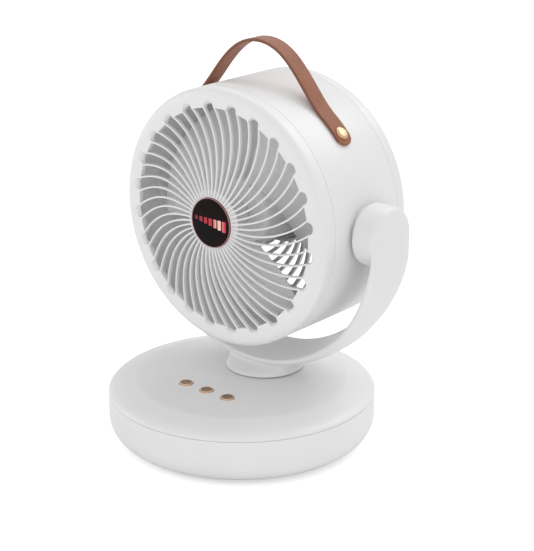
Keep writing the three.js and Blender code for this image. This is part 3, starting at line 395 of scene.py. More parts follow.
@dataclass(frozen=True)
class Wire:
    """A socket whose arithmetic adds Math nodes to its tree."""

    nodes: Nodes
    socket: Any

    def maths(self, operation: str, *others: Any) -> Wire:
        """This socket and others put through one Math node."""
        inputs = dict(enumerate((self, *others)))
        return self.nodes.wire("ShaderNodeMath", inputs, operation=operation)

    def __add__(self, other: Any) -> Wire:
        """Sum."""
        return self.maths("ADD", other)

    def __mul__(self, other: Any) -> Wire:
        """Product."""
        return self.maths("MULTIPLY", other)

    def __pow__(self, other: Any) -> Wire:
        """Power."""
        return self.maths("POWER", other)

    def __sub__(self, other: Any) -> Wire:
        """Difference."""
        return self.maths("SUBTRACT", other)

    def __rsub__(self, other: float) -> Wire:
        """A number less this socket."""
        return self.maths("MULTIPLY_ADD", -1.0, other)

    __radd__ = __add__
    __rmul__ = __mul__

    def __abs__(self) -> Wire:
        """Size without its sign."""
        return self.maths("ABSOLUTE")

    def ramp(
        self, low: float, high: float, start: float = 0.0, end: float = 1.0,
        curve: Curve = Curve.STRAIGHT,
    ) -> Wire:
        """Maps this socket from one range to another, held at its ends.

        Args:
            low: where the ramp starts.
            high: where it ends.
            start: its value up to low.
            end: its value from high.
            curve: how it rises.

        Returns:
            The mapped value.
        """
        inputs = {"Value": self, 1: low, 2: high, 3: start, 4: end}
        return self.nodes.wire("ShaderNodeMapRange", inputs, interpolation_type=curve.value)

    def spread(self, start: float = 0.0, end: float = 1.0) -> Wire:
        """Maps cloudy noise, which keeps near 0.5, to a whole range."""
        return self.ramp(0.3, 0.7, start, end)


class Nodes:
    """A node tree under construction."""

    def __init__(self, tree: bpy.types.NodeTree) -> None:
        """Takes the tree that the nodes go into."""
        self.tree = tree

    def node(self, kind: str, inputs: dict[str | int, Any] | None = None, **settings: Any) -> Any:
        """Adds a node.

        Args:
            kind: the node's type.
            inputs: values or wires of its inputs, by name or number.
            settings: its own settings, set first.

        Returns:
            The node.
        """
        made = self.tree.nodes.new(kind)
        for key, value in settings.items():
            setattr(made, key, value)
        for key, value in (inputs or {}).items():
            self.feed(made.inputs[key], value)
        return made

    def feed(self, socket: Any, value: Any) -> None:
        """Sets an input or links it.

        Args:
            socket: the input.
            value: a wire, a number, a vector, or a colour without its alpha.
        """
        if isinstance(value, Wire):
            self.tree.links.new(value.socket, socket)
        else:
            socket.default_value = (*value, 1.0) if socket.type == "RGBA" else value

    def wire(
        self, kind: str, inputs: dict[str | int, Any] | None = None, output: str | int = 0,
        **settings: Any,
    ) -> Wire:
        """One output of a new node."""
        return Wire(self, self.node(kind, inputs, **settings).outputs[output])


class Sheet(Nodes):
    """The nodes of one material."""

    def __init__(self, name: str) -> None:
        """Starts a material with a Principled shader.

        Args:
            name: the material's name.
        """
        self.material = bpy.data.materials.new(name)
        self.material.use_nodes = True
        super().__init__(self.material.node_tree)
        self.shader = self.tree.nodes["Principled BSDF"]

    def spot(self) -> Wire:
        """The Object coordinates."""
        return self.wire("ShaderNodeTexCoord", output="Object")

    def along(self, line: Line) -> Wire:
        """The Object coordinate on one axis."""
        return self.wire("ShaderNodeSeparateXYZ", {0: self.spot()}, line.value)

    def place(self, scale: Triple, centre: Triple = (0, 0, 0)) -> Wire:
        """The Object coordinates about a centre, divided by a scale."""
        inputs = {"Vector": self.spot(), "Location": centre, "Scale": scale}
        return self.wire("ShaderNodeMapping", inputs, vector_type="TEXTURE")

    def noise(self, scale: float, detail: float = 3.0, spot: Wire | None = None) -> Wire:
        """Cloudy noise about 0.5.

        Args:
            scale: its blobs to the metre.
            detail: octaves of finer noise.
            spot: where it is read, if not at the Object coordinates.

        Returns:
            Its value.
        """
        inputs = {"Vector": spot or self.spot(), "Scale": scale, "Detail": detail}
        return self.wire("ShaderNodeTexNoise", inputs, "Fac")

    def tint(self, share: Wire, low: Triple | Wire, high: Triple | Wire) -> Wire:
        """The colour a share of the way from low to high."""
        inputs = {0: share, 6: low, 7: high}
        return self.wire("ShaderNodeMix", inputs, 2, data_type="RGBA", clamp_factor=True)

    def bump(self, height: Wire, depth_mm: float, strength: float = 1.0) -> Wire:
        """A normal raised by a height, with its full depth in millimetres."""
        inputs = {"Height": height, "Distance": depth_mm * MM, "Strength": strength}
        return self.wire("ShaderNodeBump", inputs)

    def finish(self, **sockets: Any) -> Material:
        """Feeds the shader's sockets.

        Args:
            sockets: values or wires by socket name, with _ for a space.

        Returns:
            The material.
        """
        for key, value in sockets.items():
            self.feed(self.shader.inputs[key.replace("_", " ")], value)
        return self.material


# --------------------------------------------------------------- finishes


def toned(colour: Triple, share: float) -> Triple:
    """A colour made lighter or darker by a share of itself."""
    return tuple(min(c * (1 + share), 1.0) for c in colour)


@dataclass(frozen=True)
class MouldedPlastic:
    """Plastic with the fine grain and the soft flow tone of a moulding."""

    name: str
    colour: Triple
    roughness: float  # its middle roughness
    grain_mm: float = 0.45  # size of the mould's grain
    depth_mm: float = 0.012  # depth of the grain
    tone: float = 0.02  # share by which its colour varies
    flow: float = 9.0  # soft tones to the metre
    patches: float = 55.0  # patches of wear to the metre

    def made(self) -> Material:
        """Builds the material.

        Returns:
            The material.
        """
        sheet = Sheet(self.name)
        flow = sheet.noise(self.flow, 2.0).ramp(0.35, 0.65)
        grain = sheet.noise(1 / (self.grain_mm * MM), 2.0)
        patches = sheet.noise(self.patches, 4.0)
        low, high = (toned(self.colour, share) for share in (-self.tone, self.tone))
        return sheet.finish(
            Base_Color=sheet.tint(flow, low, high),
            Roughness=patches.spread(self.roughness - 0.03, self.roughness + 0.04),
            Normal=sheet.bump(grain + patches * 0.6, self.depth_mm),
        )


@dataclass(frozen=True)
class TurnedMetal:
    """Metal with the fine rings of a lathe round the middle of its piece."""

    name: str
    colour: Triple
    centre: Triple  # the rings' centre in the frame, in millimetres
    pitch_mm: float  # distance between two rings
    line: Line  # the frame's axis that the rings lie round
    dirt: float  # share of darker tone
    roughness: float = 0.3  # its middle roughness
    rim_mm: float = 0.0  # radius past which the rim's colour starts, 0 for no rim
    rim: Triple = (0.9, 0.62, 0.42)  # the rim's colour
    wander: float = 300.0  # cloudy marks to the metre

    def made(self) -> Material:
        """Builds the material.

        Returns:
            The material.
        """
        sheet = Sheet(self.name)
        flat = tuple(1000.0 if line is self.line else 1.0 for line in Line)
        spot = sheet.place(flat, tuple(c * MM for c in self.centre))
        radius = sheet.wire("ShaderNodeVectorMath", {0: spot}, "Value", operation="LENGTH")
        wander = sheet.noise(self.wander, 2.0)
        inputs = {"W": radius, "Scale": 1 / (self.pitch_mm * MM), "Detail": 2.0}
        rings = sheet.wire("ShaderNodeTexNoise", inputs, "Fac", noise_dimensions="1D")
        tone = sheet.tint(rings * 0.6 + wander * 0.4, toned(self.colour, -self.dirt), self.colour)
        if self.rim_mm:
            edge = radius.ramp(*((self.rim_mm + past) * MM for past in (-0.1, 0.1)))
            tone = sheet.tint(edge, tone, self.rim)
        wear = rings * 0.5 + wander * 0.5
        return sheet.finish(
            Base_Color=tone,
            Metallic=1.0,
            Roughness=wear.spread(self.roughness - 0.06, self.roughness + 0.08),
            Normal=sheet.bump(rings, 0.012, 0.6),
        )


@dataclass(frozen=True)
class PlainMetal:
    """Plated or painted metal with cloudy wear."""

    name: str
    colour: Triple
    roughness: float = 0.35  # its middle roughness
    metallic: float = 1.0  # 1 for bare metal, 0 for paint
    grain_mm: float = 1.2  # size of the surface's grain
    depth_mm: float = 0.02  # depth of the grain
    wear: float = 140.0  # clouds of wear to the metre
    worn: float = 0.25  # share by which they darken it

    def made(self) -> Material:
        """Builds the material.

        Returns:
            The material.
        """
        sheet = Sheet(self.name)
        wear = sheet.noise(self.wear, 5.0)
        grain = sheet.noise(1 / (self.grain_mm * MM), 3.0)
        dark = toned(self.colour, -self.worn)
        return sheet.finish(
            Base_Color=sheet.tint(wear.ramp(0.35, 0.65), dark, self.colour),
            Metallic=self.metallic,
            Roughness=wear.spread(self.roughness - 0.08, self.roughness + 0.1),
            Normal=sheet.bump(grain, self.depth_mm),
        )


@dataclass(frozen=True)
class StrapLeather:
    """Smooth tan leather with a pebbled grain and darker painted edges."""

    name: str = "strap_tan_leather"
    colour: Triple = (0.35, 0.124, 0.055)  # the face's colour, linear
    dark: Triple = (0.19, 0.064, 0.03)  # colour of the grain's valleys and the cut edges
    middle_mm: float = 26.8  # where the strap's middle lies along Y
    half_width_mm: float = 7.75  # half its width
    edge_mm: Pair = (1.1, 0.25)  # from how far inside the edge the paint starts, and is full
    pebbles: float = 1150.0  # grains to the metre
    patches: float = 42.0  # patches of tone to the metre
    creases: float = 420.0  # creases to the metre

    def made(self) -> Material:
        """Builds the material.

        Returns:
            The material.
        """
        sheet = Sheet(self.name)
        aside = abs(sheet.along(Line.Y) - self.middle_mm * MM)
        edge = aside.ramp(*((self.half_width_mm - inside) * MM for inside in self.edge_mm))
        pebbles = {"Vector": sheet.spot(), "Scale": self.pebbles}
        pores = sheet.wire("ShaderNodeTexVoronoi", pebbles, "Distance", feature="DISTANCE_TO_EDGE")
        pores = pores.ramp(0.0, 0.22)
        tone = sheet.noise(self.patches, 4.0)
        creases = sheet.noise(self.creases, 4.0, sheet.place((1.0, 0.35, 1.0)))
        face = sheet.tint(tone.spread(), toned(self.colour, -0.14), toned(self.colour, 0.1))
        shaded = sheet.tint(pores.ramp(0.0, 1.0, 0.55, 0.0), face, self.dark)
        return sheet.finish(
            Base_Color=sheet.tint(edge * 0.8, shaded, self.dark),
            Roughness=(pores * 0.5 + tone * 0.5).ramp(0.2, 0.8, 0.62, 0.44),
            Normal=sheet.bump(pores * 0.7 + creases * 0.5, 0.09, 0.8),
            Sheen_Weight=0.08,
        )


@dataclass(frozen=True)
class SpeckledSkin:
    """A dark skin with soft clouds of colour and fine marks or pits."""

    name: str
    colours: tuple[Triple, Triple]  # its two colours, linear
    clouds: tuple[float, float, float, float]  # scale, detail, start and end of the clouds
    marks: float  # how fine the marks are
    roughness: Pair  # its least and greatest roughness
    depth_mm: float  # depth of the marks
    strength: float  # strength of the marks
    specular: float = 0.5  # its specular level

    def made(self) -> Material:
        """Builds the material.

        Returns:
            The material.
        """
        sheet = Sheet(self.name)
        scale, detail, start, end = self.clouds
        marks = sheet.noise(self.marks, 3.0)
        return sheet.finish(
            Base_Color=sheet.tint(sheet.noise(scale, detail).ramp(start, end), *self.colours),
            Roughness=marks.spread(*self.roughness),
            Normal=sheet.bump(marks, self.depth_mm, self.strength),
            Specular_IOR_Level=self.specular,
        )


@dataclass(frozen=True)
class RubyInk:
    """Red print with painted light: darker towards -X, brighter towards +X, with a painted
    highlight near one place.
    """

    name: str = "badge_ruby_ink_painted_light"
    dark: Triple = (0.12, 0.003, 0.012)  # its colour at the end in painted shade
    bright: Triple = (0.72, 0.02, 0.05)  # its colour at the painted lit end
    painted_highlight: Triple = (1.0, 0.62, 0.52)  # colour of the painted highlight
    painted_highlight_mm: float = 8.2  # where the painted highlight lies, along X
    painted_highlight_reach_mm: Pair = (5.6, 1.2)  # how far from there the painted highlight ends, and is full
    painted_light_ramp_mm: Pair = (-16, 4)  # where the painted brightening starts and ends, along X
    specks: float = 1500.0  # specks to the metre

    def made(self) -> Material:
        """Builds the material.

        Returns:
            The material.
        """
        sheet = Sheet(self.name)
        across = sheet.along(Line.X)
        # painted light: the print is painted shaded at one side and lit at the other, along X
        glow = across.ramp(*(x * MM for x in self.painted_light_ramp_mm))
        speck = sheet.noise(self.specks, 2.0)
        ink_with_painted_light = sheet.tint(glow * 0.85 + speck * 0.15, self.dark, self.bright)
        # painted highlight: a pale spot of colour near one place along X
        painted_highlight_share = abs(across - self.painted_highlight_mm * MM).ramp(*(x * MM for x in self.painted_highlight_reach_mm))
        return sheet.finish(
            Base_Color=sheet.tint(painted_highlight_share, ink_with_painted_light, self.painted_highlight),
            Roughness=speck.spread(0.22, 0.34),
            Normal=sheet.bump(speck, 0.01, 0.5),
        )


@dataclass(frozen=True)
class BoardMask:
    """Green solder mask over copper tracks."""

    name: str = "board_green_mask"
    colour: Triple = (0.012, 0.09, 0.035)
    track: Triple = (0.03, 0.16, 0.06)
    tracks: float = 420.0  # tracks to the metre
    gap: float = 0.22  # width of the gaps between them

    def made(self) -> Material:
        """Builds the material.

        Returns:
            The material.
        """
        sheet = Sheet(self.name)
        inputs = {"Vector": sheet.spot(), "Scale": self.tracks, "Mortar Size": self.gap}
        tracks = sheet.wire("ShaderNodeTexBrick", inputs, "Fac", offset=0.5)
        return sheet.finish(
            Base_Color=sheet.tint(tracks, self.colour, self.track),
            Roughness=sheet.noise(200.0).spread(0.3, 0.42),
            Normal=sheet.bump(tracks, 0.03),
        )


class Finishes:
    """Every finish of the fan, made once."""

    def __init__(self) -> None:
        """Makes the materials."""
        self.white = MouldedPlastic("shell_white", (0.83, 0.825, 0.82), 0.34).made()
        self.pale = MouldedPlastic("wheel_pale_grey", (0.75, 0.75, 0.755), 0.42, tone=0.04).made()
        self.dark = MouldedPlastic("inlet_black", (0.02, 0.02, 0.022), 0.5, 0.6, 0.03, 0.1).made()
        self.nylon = MouldedPlastic("gear_nylon", (0.72, 0.68, 0.58), 0.5, 0.8, 0.02, 0.05).made()
        self.steel = PlainMetal("fastener_steel", (0.5, 0.51, 0.53)).made()
        self.iron = PlainMetal("ballast_iron", (0.05, 0.05, 0.055), 0.6, 0.0, 1.5, 0.12).made()
        self.brass = TurnedMetal(
            "rivet_brass", (0.9, 0.56, 0.34), (0, 0, 0), 0.9, Line.Y, 0.1, roughness=0.34
        ).made()
        self.rose = TurnedMetal(
            "badge_ring_rose", (0.5, 0.24, 0.25), (0, TILT_Y, TILT_Z), 0.3, Line.Y, 0.3
        ).made()
        self.leather = StrapLeather().made()
        self.gloss = SpeckledSkin(
            "badge_black_gloss", ((0.003, 0.001, 0.001), (0.01, 0.002, 0.003)),
            (60.0, 2.0, 0.4, 0.7), 900.0, (0.1, 0.16), 0.002, 0.5, 0.1,
        ).made()
        self.ruby = RubyInk().made()
        self.rubber = SpeckledSkin(
            "foot_rubber", ((0.018, 0.018, 0.019), (0.05, 0.05, 0.05)),
            (90.0, 4.0, 0.4, 0.8), 1400.0, (0.75, 0.92), 0.05, 0.7,
        ).made()
        self.board = BoardMask().made()


# ----------------------------------------------------------------- pieces


def lathed(
    corners: Sequence[Triple], segments: int = FINE, closed: bool = False, steps: int = 5
) -> Form:
    """The shell of a rounded outline (r, z, rounding) turned about Z."""
    return turned(rounded(corners, closed, steps), segments)


def placed(name: str, form: Form, axis: Axis | None = None) -> Thing:
    """Makes an object of a form, at the frame's origin with its place in its mesh.

    Args:
        name: the object's name.
        form: its shell in millimetres.
        axis: where its own Z axis lies; without one it stays in millimetres.

    Returns:
        The object.
    """
    mesh = form.mesh(name)
    if axis:
        mesh.transform(axis.matrix())
    thing = bpy.data.objects.new(name, mesh)
    bpy.context.scene.collection.objects.link(thing)
    return thing


def swapped(thing: Thing, mesh: Mesh) -> None:
    """Gives an object another mesh and removes its own.

    Args:
        thing: the object.
        mesh: its new mesh.
    """
    old, thing.data = thing.data, mesh
    bpy.data.meshes.remove(old)
    mesh.name = thing.name


def settled(thing: Thing) -> None:
    """Puts an object's modifiers into its mesh.

    Args:
        thing: the object.
    """
    graph = bpy.context.evaluated_depsgraph_get()
    plain = bpy.data.meshes.new_from_object(thing.evaluated_get(graph))
    thing.modifiers.clear()
    swapped(thing, plain)


def merged(thing: Thing, other: Thing) -> None:
    """Moves another object's mesh into one object's mesh.

    Args:
        thing: the object that grows.
        other: the object that is used up.
    """
    both = Form.joined(Form.of(piece.data) for piece in (thing, other))
    swapped(thing, both.mesh(thing.name))
    bpy.data.meshes.remove(other.data)


def combined(
    thing: Thing, axis: Axis | None, *tools: Form, change: Change = Change.CUT
) -> None:
    """Cuts solids out of an object, or joins them to it.

    Args:
        thing: the object; its mesh changes.
        axis: where the tools' own Z axis lies, as for placed.
        tools: the solids, in millimetres.
        change: what the tools do.
    """
    for tool in tools:
        other = placed(f"{thing.name}_tool", tool, axis)
        modifier = thing.modifiers.new("tool", "BOOLEAN")
        modifier.operation = change.value
        modifier.solver = "MANIFOLD"
        modifier.object = other
        settled(thing)
        bpy.data.meshes.remove(other.data)


def dressed(
    thing: Thing,
    finish: Material,
    body: str,
    slot: str,
    replaces: Sequence[str] = (),
) -> None:
    """Gives a piece its finish and its body, and hides the CAD nodes that it stands for.

    Args:
        thing: the piece.
        finish: its material.
        body: the CAD body that it rides on.
        slot: the record's material slot; not used.
        replaces: the CAD nodes that it stands for.
    """
    thing.data.materials.clear()
    thing.data.materials.append(finish)
    thing.data.shade_smooth()
    thing.data.set_sharp_from_angle(angle=SHARP)
    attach(thing, body)
    if replaces:
        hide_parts(*replaces)
    LOG.info("%s: %d faces on %s", thing.name, len(thing.data.polygons), body)


# --------------------------------------------------------- geometry nodes


class Plan(Nodes):
    """A Geometry Nodes tree under construction, with named inputs."""

    def __init__(self, name: str) -> None:
        """Starts the tree with a geometry input and output.

        Args:
            name: the tree's name.
        """
        super().__init__(bpy.data.node_groups.new(name, "GeometryNodeTree"))
        for way in ("INPUT", "OUTPUT"):
            self.tree.interface.new_socket("Geometry", in_out=way, socket_type="NodeSocketGeometry")
        self.name = name
        self.identifiers: dict[str, str] = {}
        self.entry = self.node("NodeGroupInput")
        self.exit = self.node("NodeGroupOutput")

    def input(self, name: str, kind: str, value: float | None = None) -> Wire:
        """Adds a named input.

        Args:
            name: its name.
            kind: its type of socket.
            value: its default.

        Returns:
            Its wire.
        """
        made = self.tree.interface.new_socket(name, in_out="INPUT", socket_type=f"NodeSocket{kind}")
        if value is not None:
            made.default_value = value
        self.identifiers[name] = made.identifier
        return Wire(self, self.entry.outputs[name])

    def vector(self, x: Amount = 0.0, y: Amount = 0.0, z: Amount = 0.0) -> Wire:
        """A vector of three numbers or wires."""
        return self.wire("ShaderNodeCombineXYZ", {0: x, 1: y, 2: z})

    def on_circle(self, radius: Amount, angle: Wire, z: Amount = 0.0) -> Wire:
        """The point at an angle on a circle about Z."""
        return self.vector(angle.maths("COSINE") * radius, angle.maths("SINE") * radius, z)

    def around(self, piece: Wire, count: Wire, radius: Amount, phase: Amount, finish: Wire) -> None:
        """Ends the tree with copies of a piece round Z, made real and painted.

        Args:
            piece: its geometry.
            count: number of copies.
            radius: radius of their circle.
            phase: angle of the first one.
            finish: their material.
        """
        pitch = self.wire("ShaderNodeMath", {0: FULL_TURN, 1: count}, operation="DIVIDE")
        turn = self.wire("GeometryNodeInputIndex") * pitch + phase
        spots = {"Count": count, "Position": self.on_circle(radius, turn)}
        points = self.wire("GeometryNodePoints", spots)
        inputs = {"Points": points, "Instance": piece, "Rotation": self.vector(z=turn)}
        copies = self.wire("GeometryNodeInstanceOnPoints", inputs)
        real = self.wire("GeometryNodeRealizeInstances", {0: copies})
        painted = self.wire("GeometryNodeSetMaterial", {"Geometry": real, "Material": finish})
        self.feed(self.exit.inputs[0], painted)

    def baked(self, thing: Thing, values: dict[str, Any], axis: Axis) -> Thing:
        """Runs the tree on an object and lays the result into the frame.

        Args:
            thing: the object, still in millimetres about its own axis.
            values: the tree's inputs by name.
            axis: where that axis lies.

        Returns:
            The same object with a plain mesh.
        """
        change = thing.modifiers.new(self.name, "NODES")
        change.node_group = self.tree
        for name, value in values.items():
            change[self.identifiers[name]] = value
        settled(thing)
        thing.data.transform(axis.matrix())
        return thing


def pattern_plan() -> Plan:
    """A tree that repeats its piece on a circle.

    Returns:
        The plan, with inputs Count, Circle radius, Phase and Finish.
    """
    plan = Plan("piece_on_circle")
    count = plan.input("Count", "Int", 4)
    radius, phase = (plan.input(name, "Float", 0.0) for name in ("Circle radius", "Phase"))
    finish = plan.input("Finish", "Material")
    plan.around(Wire(plan, plan.entry.outputs[0]), count, radius, phase, finish)
    return plan


def spiral_plan() -> Plan:
    """A tree that sweeps one spiral rib over a dome and repeats it round the hub.

    Returns:
        The plan, with inputs for the ribs' count, run, sweep, section and dome.
    """
    plan = Plan("spiral_ribs")
    defaults = {
        "Inner radius": 24.0, "Outer radius": 85.0, "Run past the hub": -0.02,
        "Run past the rim": 1.02, "Sweep": 0.32, "Sweep power": 1.45, "Width": 1.8, "Height": 3.6,
        "Width at the hub": 0.67, "Edge rounding": 0.6, "Face height": 51.5, "Dome height": 8.8,
    }
    inner, outer, run_in, run_out, sweep, power, width, height, taper, edge, face, dome = (
        plan.input(name, "Float", value) for name, value in defaults.items()
    )
    count, steps = plan.input("Count", "Int", 48), plan.input("Steps", "Int", 28)
    finish = plan.input("Finish", "Material")
    ends = {"Start": plan.vector(run_in), "End": plan.vector(run_out)}
    line = plan.wire("GeometryNodeCurvePrimitiveLine", ends)
    fine = plan.wire("GeometryNodeResampleCurve", {"Curve": line, "Count": steps})
    share = plan.wire("ShaderNodeSeparateXYZ", {0: plan.wire("GeometryNodeInputPosition")})
    angle = share.maths("MAXIMUM", 0.0) ** power * sweep
    low, high = eased(0.1), eased(0.9)
    lift = mixed(0.9, 0.1, share).ramp(0.0, 1.0, curve=Curve.SMOOTH)
    rise = ((lift - low) * (1 / (high - low))).maths("MAXIMUM", 0.0)
    girth = mixed(taper, 1.0, share.maths("MINIMUM", 1.0))
    z = rise * dome + face - height * girth * 0.5
    spot = plan.on_circle(mixed(inner, outer, share), angle, z)
    bent = plan.wire("GeometryNodeSetPosition", {"Geometry": fine, "Position": spot})
    upright = plan.wire("GeometryNodeSetCurveNormal", {"Curve": bent}, mode="Z_UP")
    sides = {"Width": width, "Height": height}
    section = plan.wire("GeometryNodeCurvePrimitiveQuadrilateral", sides)
    fillet = {"Curve": section, "Count": 3, "Radius": edge, "Limit Radius": True}
    soft = plan.wire("GeometryNodeFilletCurve", fillet, mode="POLY")
    swept = {"Curve": upright, "Profile Curve": soft, "Scale": girth, "Fill Caps": True}
    plan.around(plan.wire("GeometryNodeCurveToMesh", swept), count, 0.0, 0.0, finish)
    return plan


# --------------------------------------------------------- sub-assemblies


@dataclass
class Assembly:
    """A part of the fan with the finishes that it may wear."""

    finishes: Finishes

    def white(self, thing: Thing, body: str, *nodes: str) -> None:
        """Dresses a piece in the white plastic of the shells."""
        dressed(thing, self.finishes.white, body, "white_plastic", nodes)


@dataclass
class BaseHousing(Assembly):
    """Round base: tray, dished lid, rubber feet, screws, buttons and inlet."""

    pattern: Plan  # the tree that repeats a piece on a circle
    radius: float = 105.0  # its outer radius
    wall: float = 2.5  # thickness of its walls
    plateau_radius: float = 83.0  # radius of the flat top
    plateau: float = 48.5  # height of the flat top
    seam: float = 39.0  # height of the joint between tray and lid
    seam_gap: float = 0.24  # the joint's open width
    corner: float = 20.0  # rounding where the wall meets the floor
    floor: float = 5.0  # height of the floor's inner face
    drop: float = 2.0  # height of its outer face
    foot_radius: float = 8.0  # radius of a foot
    foot_circle: float = 74.0  # radius of the feet's circle
    post_circle: float = 76.0  # radius of the screws' circle
    button_radius: float = 5.2  # radius of a button's cap
    button_pitch: float = 21.5  # distance between two buttons
    button_y: float = -41.0  # where the buttons' row lies
    button_rim: float = 0.65  # width of a cap's bright rim
    button_top: float = 49.3  # height of a cap's rim
    flange: float = 1.3  # width of the hidden flange that keeps a cap in
    flange_ends: Pair = (45.7, 44.5)  # heights of the flange's two faces
    button_stem: Pair = (2.0, 43.0)  # radius and lower end of the stem on the switch
    fit: float = 0.3  # play round a button or a foot
    opening: float = 20.4  # radius of the swivel's opening
    # inner and outer radius of the thrust ring's groove, and its floor
    groove: Triple = (22.7, 28.3, 47.4)
    over: float = 52.0  # a height over the lid that every cut runs past
    inlet_z: float = 23.5  # height of the inlet's middle
    inlet_size: Triple = (11, 13, 9)  # the inlet's size
    inlet_y: float = 97.9  # where the inlet's middle lies
    mouth_radius: float = 3.1  # radius of the inlet's mouth
    mouth_floor: float = 95.4  # where its floor lies
    mouth_end: float = 104.0  # where its flare starts
    pin_radius: float = 0.9  # radius of the pin in it

    def tray(self) -> None:
        """The lower shell with its pockets and the inlet's window."""
        inner, rim = self.radius - self.wall, self.seam - self.seam_gap / 2
        shell = lathed([
            (0, self.drop, 0), (self.radius, self.drop, self.corner), (self.radius, rim, 0.25),
            (inner, rim, 0.2), (inner, self.floor, self.corner - self.wall), (0, self.floor, 0),
        ], steps=14)
        pockets = rod(self.foot_radius + self.fit, -1, 3.2).strewn(ring_of(4, self.foot_circle))
        well = turned([(0, -1), (4.0, -1), (4.0, 2.0), (3.5, 2.5), (3.5, 4.1), (0, 4.1)], 40)
        wells = well.strewn(ring_of(4, self.post_circle, QUARTER / 2))
        window = boxed((0, 104.5, self.inlet_z), (11.6, 15.0, 9.6), 0.8)
        thing = placed("base_tray", shell, Axis.BASE)
        combined(thing, Axis.BASE, Form.joined([pockets, wells]), window)
        self.white(thing, "base", "base_lower_shell")

    def lid(self) -> None:
        """The top cover with its shoulder, button holes and swivel opening."""
        flat, top, wide = self.plateau_radius, self.plateau, self.radius
        inner, rim = wide - self.wall - self.fit, self.seam + self.seam_gap / 2
        lip, lip_end = inner - 2.2, self.seam - 3.5
        pulls = ((flat, top), (flat + 12, top - 3), (wide - 2.4, rim + 5), (wide, rim + 0.25))
        under = rounded([
            (wide, rim + 0.25, 0), (wide - 0.25, rim, 0), (inner, rim, 0), (inner, lip_end, 0.4),
            (lip, lip_end, 0.4), (lip, rim, 0), (flat, top - self.wall, 2), (0, top - self.wall, 0),
        ], steps=3)
        outline = [(0, top), (flat / 2, top), (flat - 2.5, top), *cubic(pulls, 28)[:-1], *under]
        thing = placed("base_lid", turned(outline), Axis.BASE)
        near = self.button_radius + self.fit
        far, over = near + 0.5, self.over
        well = [(0, 40), (near, 40), (near, top - 0.45), (far, top + 0.05), (far, over), (0, over)]
        row = [(self.button_x(number), self.button_y) for number in (1, 2, 3)]
        start, end, low = self.groove
        ditch = [(start, low), (end, low), (end, over), (start, over), (start, low)]
        middle = Form.joined([rod(self.opening, 40, over), turned(ditch, RING)])
        holes = [turned(well, 72).strewn(row), middle.strewn([(0, TILT_Y)])]
        combined(thing, Axis.BASE, Form.joined(holes))
        self.white(thing, "base", "base_top_cover")

    def feet(self) -> None:
        """Four rubber feet, each with a shallow ring in its sole."""
        one = placed("base_rubber_feet", lathed([
            (0, 0.5, 0), (3.6, 0.5, 0.3), (4.4, 0.0, 0.3), (self.foot_radius, 0.0, 0.9),
            (self.foot_radius, 2.9, 0.3), (0, 2.9, 0),
        ], 56, steps=4))
        values = {"Count": 4, "Circle radius": self.foot_circle, "Finish": self.finishes.rubber}
        feet = self.pattern.baked(one, values, Axis.BASE)
        nodes = [f"rubber_foot_{i}" for i in range(1, 5)]
        dressed(feet, self.finishes.rubber, "base", "rubber", nodes)

    def screws(self) -> None:
        """Four countersunk screws with cross recesses, heads down."""
        steel = self.finishes.steel
        one = placed("base_housing_screws", lathed([
            (0, 2.6, 0), (2.6, 2.35, 0.5), (3.2, 2.9, 0.2), (3.2, 3.8, 0.1),
            (1.6, 3.8, 0), (1.6, 12, 0.4), (0, 13.8, 0),
        ], 40))
        cross = (boxed((0, 0, 2.4), (w, d, 1.4), 0.0) for w, d in ((3.4, 0.8), (0.8, 3.4)))
        combined(one, None, *cross)
        values = {
            "Count": 4, "Circle radius": self.post_circle, "Phase": QUARTER / 2, "Finish": steel,
        }
        screws = self.pattern.baked(one, values, Axis.BASE)
        dressed(screws, steel, "base", "steel", [f"base_screw_{i}" for i in range(1, 5)])

    def button_x(self, number: int) -> float:
        """Where a button lies in its row."""
        return (number - 2) * self.button_pitch

    def button(self, number: int) -> None:
        """One copper cap with a raised rim and a dished middle.

        Args:
            number: its number from the left, from 1.
        """
        spot, r, top = (self.button_x(number), self.button_y), self.button_radius, self.button_top
        wide, (high, low), (stem, end) = r + self.flange, self.flange_ends, self.button_stem
        cap = lathed([
            (0, top - 0.42, 0), (r - 1.9, top - 0.36, 0.4), (r - 1.1, top, 0.25), (r, top, 0.35),
            (r, high, 0), (wide, high, 0.1), (wide, low, 0.1), (stem, low, 0.2), (stem, end, 0.2),
            (0, end, 0),
        ], RING)
        copper = TurnedMetal(
            f"button_copper_{number}", (0.41, 0.28, 0.2), (*spot, 0), 0.22, Line.Z, 0.35,
            rim_mm=r - self.button_rim,
        ).made()
        name = f"button_{number}"
        thing = placed(f"base_{name}", cap.strewn([spot]), Axis.BASE)
        dressed(thing, copper, name, "copper", [name])

    def inlet(self) -> None:
        """Low-voltage socket: body, round mouth and centre pin."""
        r, deep, end, out = self.mouth_radius, self.mouth_floor, self.mouth_end, self.mouth_end + 2
        body = boxed((0, self.inlet_y, self.inlet_z), self.inlet_size, 0.6)
        thing = placed("base_dc_inlet", body, Axis.BASE)
        lay = Matrix.Translation((0, 0, self.inlet_z)) @ Matrix.Rotation(-QUARTER, 4, "X")
        mouth = lathed([
            (0, deep, 0), (r, deep, 0.2), (r, end, 0), (r + 0.6, end + 0.6, 0),
            (r + 0.6, out, 0), (0, out, 0),
        ], 56)
        combined(thing, Axis.BASE, mouth.moved(lay))
        r, low, high = self.pin_radius, deep - 1.4, end - 0.4
        pin = lathed([(0, low, 0), (r, low, 0), (r, high, 0.5), (0, high, 0)], 24)
        merged(thing, placed("inlet_pin", pin.moved(lay), Axis.BASE))
        dressed(thing, self.finishes.dark, "base", "dark_plastic", ["dc_inlet"])

    def build(self) -> None:
        """Makes and dresses the base."""
        for step in (self.tray, self.lid, self.feet, self.screws, self.inlet):
            step()
        for number in (1, 2, 3):
            self.button(number)


